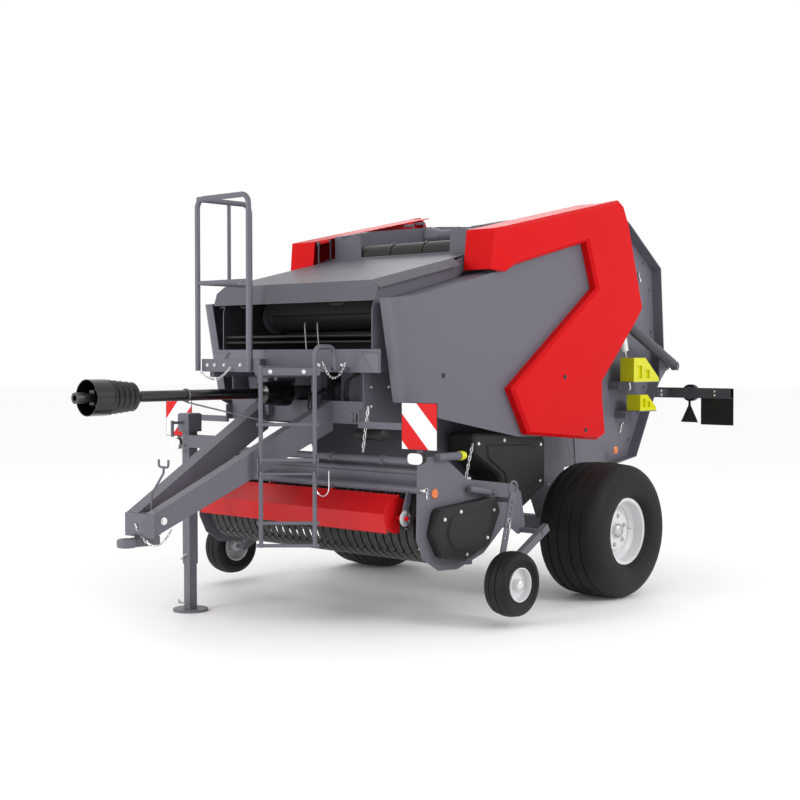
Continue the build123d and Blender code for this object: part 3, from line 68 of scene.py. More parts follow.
def middle(node):
    low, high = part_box(node)
    return [(a + b) / 2 for a, b in zip(low, high)]


AXLE_Y = middle("axle")[1]
WHEEL_X, _, WHEEL_Z = middle("tyre_left")
GAUGE_X, GAUGE_Y, GAUGE_Z = middle("gauge_tyre_left")

# Heights, and (along the machine from the main axle, height) of what runs across it
DECK_TOP = 1.605
TOE_BOLT_Z = 1.617
NET_ROLL = (-1.46, 1.945)
TOP_ROLLER = (-0.782, 2.396)
PICKUP_TUBE = (-1.832, 1.03)
# Radius of the circle of tine bars, the strips' pitch, and how many stand beside the middle one
TINE_BAR_PLACE = 0.11
STRIP_PITCH = 0.066
STRIP_SIDE = 14
# Outer faces of the chamber walls and of the tailgate walls
WALL_FACE_X = 0.614
GATE_FACE_X = 0.616


def at(x, y, z):
    """A place given from the main axle's middle, in the frame."""
    return (x, y + AXLE_Y, z)


def length(name, description, default, low):
    return FloatProperty(name=name, description=description, default=default, min=low, unit="LENGTH")


def tint(name, description, default):
    return FloatVectorProperty(name=name, description=description, default=default, subtype="COLOR",
                               min=0, max=1)


class BalerSizes(PropertyGroup):
    groove: length("Tread groove", "Depth of the tyres' grooves", 0.009, 0)
    bolt: length("Bolt", "Half the width of a common bolt's head", 0.009, 0.002)
    chain_wire: length("Chain wire", "Radius of the chains' wire", 0.0026, 0.001)
    chain_pitch: length("Chain pitch", "Length of one chain link inside", 0.021, 0.005)
    stripe_pitch: FloatProperty(name="Stripe pitch", default=1.2, min=0.1,
                                description="One red and one white stripe along a board's side, in sides")
    tyre_steps: IntProperty(name="Tyre steps", description="Faces round a main tyre", default=144, min=24)


class BalerColours(PropertyGroup):
    slate: tint("Slate", "Frame and panel paint", (0.112, 0.1085, 0.134))
    red: tint("Red", "Mouldings and wind guard", (0.56, 0.004, 0.006))
    rubber: tint("Rubber", "Tyres", (0.0055, 0.0055, 0.0058))
    black: tint("Black", "Black steel and plastic", (0.011, 0.011, 0.012))
    silver: tint("Silver", "Wheel rims", (0.66, 0.66, 0.675))
    lime: tint("Lime", "Chocks and cap", (0.6, 0.6, 0.001))
    floor: tint("Floor", "Studio floor", (0.965, 0.965, 0.967))


def sizes():
    return bpy.context.scene.baler_sizes


def colours():
    return bpy.context.scene.baler_colours


# Shapes

class Shape:
    """Surfaces gathered as arrays of points and faces, and made into one mesh."""

    def __init__(self):
        self.points = []
        self.faces = []
        self.total = 0

    def add(self, points, faces):
        points = np.asarray(points, float).reshape(-1, 3)
        self.points.append(points)
        self.faces += (np.asarray(faces) + self.total).tolist()
        self.total += len(points)
        return self

    def grid(self, points, wrap_u=False, wrap_v=True, caps=False):
        """Four-sided faces between neighbours of a grid (u, v); caps close both ends of u."""
        nu, nv = points.shape[:2]
        u = np.arange(nu if wrap_u else nu - 1)
        v = np.arange(nv if wrap_v else nv - 1)
        a, b = np.meshgrid(u, v, indexing="ij")
        a2 = (a + 1) % nu
        b2 = (b + 1) % nv
        first = self.total
        self.add(points, np.stack([a * nv + b, a2 * nv + b, a2 * nv + b2, a * nv + b2], -1).reshape(-1, 4))
        if caps:
            row = np.arange(nv)
            self.faces += [(first + row).tolist(), (first + (nu - 1) * nv + row).tolist()]
        return self

    def tube(self, path, radius, sides=8, closed=False):
        """A circle of the radius carried along the path, each ring square to the path's direction."""
        path = np.asarray(path, float)
        step = np.roll(path, -1, 0) - np.roll(path, 1, 0) if closed else np.gradient(path, axis=0)
        step /= np.linalg.norm(step, axis=1, keepdims=True)
        rest = np.eye(3)[np.argmin(np.abs(step).max(0))]
        side = np.cross(step, rest)
        side /= np.linalg.norm(side, axis=1, keepdims=True)
        up = np.cross(side, step)
        turn = np.linspace(0, 2 * np.pi, sides, endpoint=False)[None, :, None]
        ring = np.cos(turn) * side[:, None] + np.sin(turn) * up[:, None]
        radius = np.broadcast_to(np.asarray(radius, float), len(path))[:, None, None]
        return self.grid(path[:, None] + radius * ring, wrap_u=closed, caps=not closed)

    def lathe(self, profile, origin, axis, sides=24, closed=False, turned=0.0):
        """A profile of (along, radius) turned about an axis through the origin point."""
        profile = np.asarray(profile, float)
        axis = np.asarray(axis, float) / np.linalg.norm(axis)
        rest = np.eye(3)[np.argmin(np.abs(axis))]
        side = np.cross(axis, rest)
        side /= np.linalg.norm(side)
        up = np.cross(axis, side)
        turn = (np.linspace(0, 2 * np.pi, sides, endpoint=False) + turned)[None, :, None]
        ring = np.cos(turn) * side + np.sin(turn) * up
        points = np.asarray(origin) + profile[:, 0, None, None] * axis + profile[:, 1, None, None] * ring
        return self.grid(points, wrap_u=closed, caps=not closed)

    def prism(self, outline, origin, across, up, depth, bevel=0.0):
        """An outline in the plane of across and up, carried square to it by the depth."""
        outline = np.asarray(outline, float)
        across = np.asarray(across, float)
        up = np.asarray(up, float)
        out = np.cross(across, up)
        centre = outline.mean(0)
        small = centre + (outline - centre) * (1 - bevel)
        rows = [(outline, 0.0), (outline, depth)] if not bevel else [
            (outline, 0.0), (outline, depth * 0.7), (small, depth)]
        points = [np.asarray(origin) + o[:, :1] * across + o[:, 1:] * up + d * out for o, d in rows]
        return self.grid(np.stack(points), caps=True)

    def bolts(self, places, axis, size):
        """Hexagon heads on washers, standing on their places along the axis."""
        washer = [(0, size * 1.35), (size * 0.25, size * 1.3)]
        head = [(size * 0.25, size), (size * 0.8, size), (size * 0.95, size * 0.8)]
        for number, place in enumerate(places):
            self.lathe(washer, place, axis, 12)
            self.lathe(head, place, axis, 6, turned=number * 0.7)
        return self

    def chain(self, path, wire, pitch):
        """Stadium-shaped links along the path, every second one turned a quarter about it."""
        path = np.asarray(path, float)
        run = np.concatenate([[0], np.cumsum(np.linalg.norm(np.diff(path, axis=0), axis=1))])
        count = max(int(run[-1] / pitch), 1)
        spots = (np.arange(count) + 0.5) * run[-1] / count
        centres = np.stack([np.interp(spots, run, path[:, k]) for k in range(3)], -1)
        ahead = np.stack([np.interp(spots + 1e-4, run, path[:, k]) for k in range(3)], -1)
        behind = np.stack([np.interp(spots - 1e-4, run, path[:, k]) for k in range(3)], -1)
        turn = np.linspace(0, 2 * np.pi, 12, endpoint=False)
        for number, (centre, along) in enumerate(zip(centres, ahead - behind)):
            along = along / np.linalg.norm(along)
            side = np.cross(along, (0.3, 0.9, 0.1))
            side /= np.linalg.norm(side)
            if number % 2:
                side = np.cross(along, side)
            straight = np.sign(np.cos(turn)) * (pitch / 2 - wire) + np.cos(turn) * 2.4 * wire
            link = centre + straight[:, None] * along + (np.sin(turn) * 2.4 * wire)[:, None] * side
            self.tube(link, wire, 6, closed=True)
        return self

    def make(self, name, finish, body, slot, smooth=0.6):
        """One mesh object of a named finish, riding on its body; edges above the angle stay sharp."""
        mesh = bpy.data.meshes.new(name)
        mesh.from_pydata(np.concatenate(self.points).tolist(), [], self.faces)
        work = bmesh.new()
        work.from_mesh(mesh)
        bmesh.ops.recalc_face_normals(work, faces=work.faces)
        for edge in work.edges:
            edge.smooth = len(edge.link_faces) != 2 or edge.calc_face_angle(0) < smooth
        for face in work.faces:
            face.smooth = True
        work.to_mesh(mesh)
        work.free()
        mesh.materials.append(FINISHES[finish])
        piece = bpy.data.objects.new(name, mesh)
        bpy.context.scene.collection.objects.link(piece)
        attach(piece, body)
        return piece


def arc(centre, radius, start, end, count, across=X, up=Z):
    """Points on an arc from one angle in degrees to another, in the plane of across and up."""
    turn = np.radians(np.linspace(start, end, count))[:, None]
    return np.asarray(centre) + radius * (np.cos(turn) * np.asarray(across) + np.sin(turn) * np.asarray(up))


def oblong(half_width, half_height):
    """The four corners of a rectangle about the origin."""
    return [(u * half_width, v * half_height) for u, v in ((-1, -1), (1, -1), (1, 1), (-1, 1))]


def hanging(start, end, sag, count=14):
    """A parabola between two points that drops by the sag in its middle."""
    share = np.linspace(0, 1, count)[:, None]
    start = np.asarray(start, float)
    line = start + (np.asarray(end, float) - start) * share
    line[:, 2] -= (4 * sag * share * (1 - share))[:, 0]
    return line


# Finishes

class Value:
    """A number that varies over a surface; expressions on it add Math nodes."""

    def __init__(self, finish, socket):
        self.finish = finish
        self.socket = socket

    def math(self, operation, *others):
        return Value(self.finish, self.finish.node(
            "ShaderNodeMath", {"operation": operation}, dict(enumerate((self,) + others))).outputs[0])

    def __add__(self, other):
        return self.math("ADD", other)

    def __sub__(self, other):
        return self.math("SUBTRACT", other)

    def __mul__(self, other):
        return self.math("MULTIPLY", other)

    def __truediv__(self, other):
        return self.math("DIVIDE", other)

    def __rsub__(self, other):
        return (self * -1.0) + other

    __radd__ = __add__
    __rmul__ = __mul__

    def above(self, edge, soft):
        """0 below the edge and 1 above it, turning smoothly over the soft width."""
        node = self.finish.node("ShaderNodeMapRange", {"interpolation_type": "SMOOTHSTEP", "clamp": True},
                                {"Value": self, "From Min": edge - soft / 2, "From Max": edge + soft / 2})
        return Value(self.finish, node.outputs[0])


class Finish:
    """One material, its nodes made by node() and its numbers carried by Value."""

    def __init__(self, name, **constants):
        self.material = bpy.data.materials.new(name)
        self.material.use_nodes = True
        self.tree = self.material.node_tree
        self.tree.nodes.clear()
        self.shader = self.node("ShaderNodeBsdfPrincipled", {}, constants)
        output = self.node("ShaderNodeOutputMaterial", {}, {})
        self.tree.links.new(self.shader.outputs[0], output.inputs["Surface"])
        self.place = self.node("ShaderNodeTexCoord", {}, {}).outputs["Object"]

    def node(self, kind, settings, inputs):
        made = self.tree.nodes.new(kind)
        for key, value in settings.items():
            setattr(made, key, value)
        for key, value in inputs.items():
            self.feed(made.inputs[key], value)
        return made

    def feed(self, socket, value):
        if isinstance(value, Value):
            value = value.socket
        if isinstance(value, bpy.types.NodeSocket):
            self.tree.links.new(value, socket)
        elif isinstance(value, tuple) and len(value) == 3 and socket.type == "RGBA":
            socket.default_value = (*value, 1)
        else:
            socket.default_value = value

    def stretched(self, scale):
        node = self.node("ShaderNodeVectorMath", {"operation": "MULTIPLY"}, {0: self.place, 1: scale})
        return node.outputs[0]

    def noise(self, scale, detail=3.0, stretch=None):
        place = self.stretched(stretch) if stretch else self.place
        node = self.node("ShaderNodeTexNoise", {}, {"Vector": place, "Scale": scale, "Detail": detail})
        return Value(self, node.outputs["Fac"])

    def cells(self, scale):
        node = self.node("ShaderNodeTexVoronoi", {}, {"Vector": self.place, "Scale": scale})
        return Value(self, node.outputs["Distance"])

    def axis(self, name, source=None):
        node = self.node("ShaderNodeSeparateXYZ", {}, {"Vector": source or self.place})
        return Value(self, node.outputs[name])

    def facing(self, name):
        return self.axis(name, self.node("ShaderNodeNewGeometry", {}, {}).outputs["Normal"])

    def mix(self, factor, low, high):
        node = self.node("ShaderNodeMix", {"data_type": "RGBA"}, {0: factor, 6: low, 7: high})
        return node.outputs[2]

    def show(self, colour, rough, bump=None, height=0.0003):
        """Feeds the shader, its bump as high as given in metres, and hands over the material."""
        self.feed(self.shader.inputs["Base Color"], colour)
        self.feed(self.shader.inputs["Roughness"], rough)
        if bump is not None:
            node = self.node("ShaderNodeBump", {}, {"Height": bump, "Distance": height, "Strength": 0.6})
            self.feed(self.shader.inputs["Normal"], node.outputs[0])
        return self.material


def shade(colour, factor):
    return tuple(min(c * factor, 1.0) for c in colour)


DUST = (0.3, 0.27, 0.22)


def painted(name, colour, rough=0.42, coat=0.06, peel=260, dust=0.25, second=None, where=None):
    """Powder coat: faint clouds, fine peel, dust on low and level faces; where() masks a second paint."""
    finish = Finish(name, **{"Coat Weight": coat, "Coat Roughness": 0.25, "Specular IOR Level": 0.3})
    cloud = finish.noise(3.1, 4)
    fine = finish.noise(peel, 2)
    grain = finish.noise(38, 6)
    level = finish.facing("Z").above(0.75, 0.5)
    low = 1.0 - finish.axis("Z").above(0.5, 0.9)
    dirt = ((level * 0.2 + low * 0.6) * grain.above(0.5, 0.3)) * dust
    base = finish.mix(cloud, shade(colour, 0.93), shade(colour, 1.07))
    if second:
        base = finish.mix(where(finish), base, finish.mix(cloud, shade(second, 0.93), shade(second, 1.07)))
    return finish.show(finish.mix(dirt, base, DUST), fine * 0.08 + cloud * 0.1 + dirt * 0.6 + (rough - 0.09),
                       fine + grain * 0.3, 0.0002)


def moulded(name, colour, rough=0.3, coat=0.08, grain=420, specular=0.3):
    """Moulded plastic: even colour, soft flow marks and a fine satin grain."""
    finish = Finish(name, **{"Coat Weight": coat, "Coat Roughness": 0.2, "Specular IOR Level": specular})
    flow = finish.noise(1.4, 3, (1, 0.4, 1))
    fine = finish.noise(grain, 2)
    smear = finish.noise(9, 5, (1, 1, 0.35))
    base = finish.mix(flow, shade(colour, 0.95), shade(colour, 1.05))
    return finish.show(base, smear * 0.12 + fine * 0.06 + (rough - 0.09), fine + flow * 2.0, 0.00012)


def bare_metal(name, colour, rough=0.32, stretch=(1, 26, 26)):
    """Turned or drawn steel: fine lines across the stretch, with darker handling marks."""
    finish = Finish(name, Metallic=1.0)
    line = finish.noise(34, 4, stretch)
    spot = finish.noise(14, 5)
    base = finish.mix(spot.above(0.55, 0.35), colour, shade(colour, 0.72))
    return finish.show(base, line * 0.22 + spot * 0.12 + (rough - 0.15), line, 0.0001)


def spangled(name, colour):
    """Zinc plate: small crystal cells that differ a little in tone and gloss."""
    finish = Finish(name, Metallic=0.9)
    cell = finish.cells(90)
    spot = finish.noise(11, 4)
    return finish.show(finish.mix(cell.above(0.4, 0.5), colour, shade(colour, 0.8)),
                       cell * 0.3 + spot * 0.15 + 0.22, cell, 0.0001)


def rubber(name, colour):
    """Tyre rubber: dull, with moulding grain and grey dust in the low places."""
    finish = Finish(name, **{"Specular IOR Level": 0.25})
    grain = finish.noise(150, 5)
    cloud = finish.noise(5, 5)
    base = finish.mix(cloud.above(0.5, 0.5), colour, shade(colour, 1.7))
    low = 1.0 - finish.axis("Z").above(0.14, 0.3)
    return finish.show(finish.mix(low * cloud * 0.12, base, DUST), cloud * 0.15 + grain * 0.1 + 0.5,
                       grain + cloud, 0.0004)


def stripes(name, red, node):
    """Reflecting film in red and white stripes at 45 degrees, falling towards each board's outer edge."""
    low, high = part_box(node)
    side = high[2] - low[2]
    corner = high[0] - side + high[2]
    finish = Finish(name, **{"Coat Weight": 0.1, "Specular IOR Level": 0.2})
    slant = (finish.axis("X").math("ABSOLUTE") + finish.axis("Z") - corner) / side
    wave = ((slant + 0.22) / sizes().stripe_pitch).math("FRACT")
    mask = wave.above(0.52, 0.006) * (1.0 - wave.above(0.996, 0.006))
    cell = finish.cells(420)
    white = finish.mix(cell, (0.8, 0.8, 0.8), (0.7, 0.7, 0.71))
    paint = finish.mix(cell, shade(red, 1.15), shade(red, 0.95))
    return finish.show(finish.mix(mask, white, paint), cell * 0.15 + 0.35, cell, 0.00008)


def lens(name, colour, glow=0.0):
    """Prismed lens: a fine waffle under a clear skin."""
    finish = Finish(name, **{"Coat Weight": 0.8, "Coat Roughness": 0.05, "IOR": 1.5})
    cell = finish.cells(230)
    base = finish.mix(cell, shade(colour, 1.15), shade(colour, 0.7))
    if glow:
        finish.feed(finish.shader.inputs["Emission Color"], base)
        finish.feed(finish.shader.inputs["Emission Strength"], glow)
    return finish.show(base, cell * 0.2 + 0.12, cell, 0.0003)


EDGE = 0.002


def guard_frame(finish):
    """1 on the wind guard's tube and outer arms, 0 on its sheet."""
    across = finish.axis("X").math("ABSOLUTE").above(0.926, EDGE)
    near = finish.axis("Y").above(AXLE_Y - 1.882, EDGE) * finish.axis("Z").above(0.834, EDGE)
    return across.math("MAXIMUM", near)


def painted_box_shade(finish):
    """1 inside the net box, 0 on its front, cheeks and brackets."""
    across = 1.0 - finish.axis("X").math("ABSOLUTE").above(0.6902, 0.001)
    behind = finish.axis("Y").above(AXLE_Y - 1.929, 0.001)
    return across * behind * finish.axis("Z").above(1.712, EDGE)


def painted_underside_shade(finish):
    """1 on faces that look down."""
    return 1.0 - finish.facing("Z").above(-0.3, 0.2)


FINISHES = {}


def mix_finishes():
    """Every finish, mixed from the panel's colours."""
    c = colours()
    slate = tuple(c.slate)
    red = tuple(c.red)
    black = tuple(c.black)
    FINISHES.update({
        "slate": painted("slate powder coat", slate),
        # Slate at half its tone; on the gearbox it is painted shade of the space under the deck
        "dark_slate_and_shade": painted("dark slate paint and painted shade", shade(slate, 0.5)),
        "panel": moulded("slate panel", shade(slate, 1.02), 0.4),
        "red": moulded("red moulding", red, 0.36, 0.02, specular=0.07),
        # Slate lightened by a quarter as painted light, for the tailgate walls and back
        "slate_with_painted_light": painted("slate paint lightened as painted light", shade(slate, 1.25)),
        "guard": painted("wind guard paint", shade(red, 0.85), 0.36, 0.03, 300, 0.05, slate, guard_frame),
        # The net box's slate is lightened a fifth as painted light, and its inside is painted black as
        # painted shade
        "net_box": painted("net box paint with painted light and shade", shade(slate, 1.2), second=black, where=painted_box_shade),
        # The hood's slate is darkened to 0.78 as painted shade of its lit top, and its downward faces are
        # painted black as painted shade
        "hood": painted("hood paint with painted shade", shade(slate, 0.78), dust=0.1, second=black, where=painted_underside_shade),
        "black_steel": painted("black steel", black, 0.4, 0.1),
        "black": moulded("black plastic", shade(black, 1.6), 0.5, 0.02, 300, 0.22),
        "gloss": moulded("glossy black guard", shade(black, 0.15), 0.14, 0.35, specular=0.4),
        "rubber": rubber("tyre rubber", tuple(c.rubber)),
        "silver": painted("silver rim paint", tuple(c.silver), 0.28, 0.5, 300, 0.03),
        "steel": bare_metal("worn roller steel", (0.42, 0.42, 0.43), 0.36, (1, 26, 26)),
        "dark_steel": bare_metal("oiled steel", (0.1, 0.1, 0.105), 0.4, (26, 1, 26)),
        "zinc": spangled("zinc plate", (0.62, 0.62, 0.63)),
        "dull": bare_metal("dull grey rod", (0.2, 0.2, 0.21), 0.42, (9, 9, 9)),
        "bright": bare_metal("bright fastener", (0.86, 0.86, 0.87), 0.24, (9, 9, 9)),
        "chrome": bare_metal("chromed rod", (0.8, 0.8, 0.82), 0.18, (1, 1, 1)),
        "lime": moulded("lime plastic", tuple(c.lime), 0.38, 0.3),
        "front_film": stripes("striped front film", red, "front_boards"),
        "rear_film": stripes("striped rear film", red, "rear_boards"),
        # The white lens glows faintly; on the gate struts, which wear it too, the glow is painted light
        "white": lens("white lens", (0.8, 0.82, 0.84), 0.12),
        "orange": lens("orange reflector", (0.7, 0.14, 0.004)),
        "dark_red": lens("red lens", (0.4, 0.012, 0.012)),
    })


NODE_FINISH = {
    # The tailgate walls and back wear slate lightened as painted light
    "slate_with_painted_light": ["tailgate_wall_left", "tailgate_wall_right", "tailgate_back"],
    "slate": ["axle", "chamber_wall_left", "chamber_wall_right", "hinge_tube", "drawbar_left",
              "drawbar_right", "drawbar_head", "towing_eye", "hose_hook", "front_frame", "jack_tube",
              "jack_leg", "platform", "guard_rail", "ladder_upper", "ladder_lower", "pickup_frame",
              "pickup_pivots", "gauge_arms", "feed_rotor"],
    "panel": ["cover_panel_left", "cover_panel_right"],
    "red": ["cover_band_left", "cover_band_right"],
    "guard": ["wind_guard"],
    # The net box wears slate lightened as painted light, with black painted shade inside
    "net_box": ["net_box"],
    # The hood wears darkened slate and black on its underside, both painted shade
    "hood": ["net_hood"],
    "rubber": ["tyre_left", "tyre_right", "gauge_tyre_left", "gauge_tyre_right"],
    "silver": ["rim_left", "rim_right", "gauge_rim_left", "gauge_rim_right"],
    "steel": ["chamber_rollers_front", "chamber_rollers_rear"],
    "black_steel": ["net_rollers", "pickup_strips", "pickup_reel", "front_boards", "rear_boards"],
    # On the gearbox this dark slate is painted shade of the dark space under the deck
    "dark_slate_and_shade": ["light_bar", "cylinder_barrel_left", "cylinder_barrel_right", "gearbox"],
    "gloss": ["shaft_guard"],
    "dark_steel": ["drive_shaft"],
    "dull": ["shaft_stay"],
    "chrome": ["cylinder_rod_left", "cylinder_rod_right"],
    "black": ["reel_drive_cover", "rotor_drive_cover", "front_lamps", "rear_lamps"],
    "lime": ["wheel_chocks"],
}


def finish_nodes():
    """Gives every solid its finish."""
    for finish, names in NODE_FINISH.items():
        for name in names:
            for slot in nodes[name].material_slots:
                slot.material = FINISHES[finish]


# Wheels

CROWN_DROP = 0.008
# Half the width, radius, half the width and radius of the bead, places of the grooves
MAIN_TYRE = (0.25, 0.466, 0.1915, 0.2165, (0.048, 0.13))
SMALL_TYRE = (0.0825, 0.203, 0.0622, 0.1065, (0.022,))


def tyre_profile(half, radius, bead, bead_radius, grooves, depth):
    """Half-section of a tyre: a parabolic crown with grooves, a superellipse shoulder, the side."""
    reach = half * 0.62
    edge, floor = half * 0.036, half * 0.022
    spots = sorted([0.0] + [g + s for g in grooves for s in (-edge, -floor, floor, edge)])
    sunk = {x: depth if any(abs(x - g) < edge * 0.8 for g in grooves) else 0 for x in spots}
    crown = [(x, radius - CROWN_DROP * (x / reach) ** 2 - sunk[x]) for x in spots if x < reach]
    turn = np.radians(np.linspace(0, 90, 9))
    drop = (radius - bead_radius) * 0.45
    shoulder = [(reach + (half - reach) * math.sin(t) ** 0.9,
                 radius - CROWN_DROP - drop * (1 - math.cos(t) ** 0.9)) for t in turn]
    low = bead_radius + 0.03
    side = [(half, low + (radius - bead_radius) * 0.2), (half - 0.008, low + 0.01), (half - 0.02, low),
            (bead, low - 0.022), (bead - 0.002, bead_radius)]
    return crown + shoulder + side


def tyre(side, measures, centre, steps):
    """The half-section, mirrored and turned about the axle."""
    outer = tyre_profile(*measures, sizes().groove)
    section = [(-x, r) for x, r in reversed(outer)] + outer[1:]
    x, y, z = centre
    return Shape().lathe(section, (side * x, y, z), X, steps, closed=True)


def build_tyres():
    """Lathed tyres with grooved crowns, in place of the plain solids."""
    for side, word in SIDES:
        main = tyre(side, MAIN_TYRE, middle("tyre_left"), sizes().tyre_steps)
        piece = main.make(f"main_tyre_{word}", "rubber", f"wheel_{word}", "tyre", 0.9)
        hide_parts(f"tyre_{word}")
        small = tyre(side, SMALL_TYRE, middle("gauge_tyre_left"), sizes().tyre_steps // 2)
        piece = small.make(f"small_tyre_{word}", "rubber", f"gauge_{word}", "tyre", 0.9)
        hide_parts(f"gauge_tyre_{word}")


def ring_of(count, radius, centre, start=0.0):
    """Places evenly round a circle square to X."""
    turn = np.arange(count) * 2 * np.pi / count + start
    return [(centre[0], centre[1] + radius * math.cos(t), centre[2] + radius * math.sin(t)) for t in turn]


def build_wheel_fittings():
    """Wheel nuts, hub caps and valves."""
    for side, word in SIDES:
        shape = Shape()
        out = (side, 0, 0)
        face = (side * (WHEEL_X + 0.117), AXLE_Y, WHEEL_Z)
        shape.bolts(ring_of(6, 0.1, face, 0.3), out, 0.013)
        shape.lathe([(0.018, 0.05), (0.03, 0.044), (0.038, 0.03), (0.04, 0.006)], face, out, 28)
        valve = (side * (WHEEL_X + 0.11), AXLE_Y + 0.165, WHEEL_Z)
        shape.lathe([(-0.03, 0.005), (0.02, 0.005), (0.021, 0.004)], valve, out, 8)
        shape.make(f"wheel_nuts_{word}", "zinc", f"wheel_{word}", "zinc")
        small = Shape()
        hub = (side * (GAUGE_X + 0.026), GAUGE_Y, GAUGE_Z)
        small.bolts(ring_of(4, 0.055, hub, 0.6), out, 0.008)
        small.lathe([(0.03, 0.033), (0.044, 0.033), (0.052, 0.026), (0.056, 0.012)], hub, out, 20)
        small.make(f"gauge_hub_cap_{word}", "bright", f"gauge_{word}", "rim")


# Boards, lamps and reflectors

FILM_INSET = 0.004
FILM_T = 0.0005


def board_film(left, right, low, high, y, out):
    """A thin rectangle inside the board's edges, standing out of its face."""
    left, right = left + FILM_INSET, right - FILM_INSET
    low, high = low + FILM_INSET, high - FILM_INSET
    outline = [(-out * x, z) for x, z in ((left, low), (right, low), (right, high), (left, high))]
    return Shape().prism(outline, (0, y, 0), (-out, 0, 0), Z, FILM_T)


def build_board_films():
    """Striped film on the front faces of the front boards and the rear faces of the rear boards."""
    for node, out, body in (("front_boards", -1, "chassis"), ("rear_boards", 1, "tailgate")):
        low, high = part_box(node)
        y = low[1] if out < 0 else high[1]
        width = high[2] - low[2]
        for side, word in SIDES:
            left = high[0] - width if side > 0 else low[0]
            film = board_film(left, left + width, low[2], high[2], y, out)
            film.make(f"{node}_film_{word}", node.split("_")[0] + "_film", body, "board")


def build_lenses():
    """Oval white lamps in front, round red lamps and triangles behind, orange reflectors on the sides."""
    low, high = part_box("front_lamps")
    for side, word in SIDES:
        x = side * (high[0] - 0.058)
        z = (low[2] + high[2]) / 2
        turn = np.linspace(0, 2 * np.pi, 40, endpoint=False)
        round_off = np.stack([np.cos(turn), np.sin(turn)], -1)
        oval = np.sign(round_off) * np.abs(round_off) ** 0.62 * (0.056, 0.033)
        lamp = Shape().prism(oval, (x, low[1], z), X, Z, 0.008, 0.12)
        lamp.make(f"front_lens_{word}", "white", "chassis", "lamp")
    low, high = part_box("rear_lamps")
    dome = [(0, 0.058), (0.0013, 0.055), (0.0021, 0.04), (0.0022, 0.004)]
    frame_ring = [(-0.002, 0.066), (0.0003, 0.065), (0.0003, 0.059), (-0.002, 0.058)]
    for side, word in SIDES:
        x = side * 0.876
        z = high[2] - 0.066
        lamp = Shape().lathe(dome, (x, high[1] - 0.002, z), Y, 32)
        lamp.lathe(frame_ring, (x, high[1], z), Y, 32, closed=True)
        triangle = [(0, z - 0.111), (0.055, z - 0.219), (-0.055, z - 0.219)]
        lamp.prism(triangle, (x, high[1] - 0.0355, 0), (-1, 0, 0), Z, 0.0025)
        lamp.make(f"rear_lens_{word}", "dark_red", "tailgate", "lamp")
        for body, x, y, z in (("pickup", 1.018, -1.718, 0.833), ("tailgate", 0.7, 0.738, 0.965)):
            button = [(0, 0.03), (0.004, 0.03), (0.007, 0.026), (0.0075, 0.004)]
            disc = Shape().lathe(button, at(side * x, y, z), (side, 0, 0), 24)
            disc.make(f"{body}_reflector_{word}", "orange", body, "lamp")


# Fasteners

def build_frame_bolts():
    """Bolts on the drawbar, toe plate, ladder bar, net box and chamber walls."""
    size = sizes().bolt
    shape = Shape()
    for side in (1, -1):
        shape.bolts([at(side * 0.1385, -3.10, 0.715)], (side * 0.985, -0.175, 0), 0.017)
    shape.bolts([at(x, -2.475, TOE_BOLT_Z) for x in (-0.21, -0.14, -0.05, 0.1)], FRONT, size)
    shape.bolts([at(-0.265, y, TOE_BOLT_Z) for y in (-2.36, -2.22, -2.08)], (-1, 0, 0), size)
    shape.bolts([at(0.505, y, TOE_BOLT_Z) for y in (-2.2, -2.0)], X, size)
    bar = np.array([0.24, 0.22, 0])
    out = np.array([bar[1], -bar[0], 0]) / np.linalg.norm(bar)
    start = np.array(at(0.30, -2.49, 1.578))
    shape.bolts([start + bar * share + out * 0.006 for share in (0.18, 0.8)], out, size * 1.1)
    plate = ((-1.86, 1.48), (-1.86, 1.36), (-1.7, 1.48))
    shape.bolts([at(side * 0.62, y, z) for side in (1, -1) for y, z in plate], FRONT, size)
    shape.make("frame_bolts", "bright", "chassis", "zinc")
    walls = Shape()
    spots = [(-1.55, 1.5), (-1.2, 1.5), (-0.6, 1.3), (0.0, 0.75), (-0.9, 1.25), (-0.3, 1.1)]
    for side in (1, -1):
        walls.bolts([at(side * WALL_FACE_X, y, z) for y, z in spots], (side, 0, 0), size)
    walls.make("wall_bolts", "zinc", "chassis", "zinc")


def build_tailgate_bolts():
    """Bolts along the tailgate rim, on the cylinder lugs and the light bar, and the small latches."""
    size = sizes().bolt
    shape, rim_bolts = Shape(), Shape()
    rim = np.array([(0.925, 2.68), (1.37, 2.36), (1.42, 1.7), (1.26, 1.315), (1.03, 0.9)])
    for side in (1, -1):
        for a, b in zip(rim[:-1], rim[1:]):
            inward = np.array([b[1] - a[1], a[0] - b[0]]) / np.linalg.norm(b - a)
            for share in (0.25, 0.75):
                y, z = a + (b - a) * share + inward * 0.05
                rim_bolts.bolts([at(side * GATE_FACE_X, y, z)], (side, 0, 0), size)
        shape.bolts([at(side * 0.708, y, z) for y, z in ((1.37, 1.37), (1.37, 1.4))], (side, 0, 0), size)
        for y, z, lean in ((1.172, 2.293, -0.5), (0.928, 1.131, 0.3)):
            latch = np.array(at(side * 0.622, y, z))
            way = np.array([0, math.sin(lean), math.cos(lean)])
            shape.tube([latch - way * 0.03, latch + way * 0.03], 0.008, 8)
            shape.tube([latch + way * 0.03, latch + way * 0.03 + (side * 0.018, 0, 0)], 0.006, 8)
            shape.bolts([latch - way * 0.036], (side, 0, 0), size)
        shape.bolts([at(side * 1.12, 1.469, z) for z in (1.37, 1.4)], FRONT, size * 0.8)
    shape.make("tailgate_latches", "bright", "tailgate", "zinc")
    rim_bolts.make("tailgate_bolts", "slate", "tailgate", "grey")


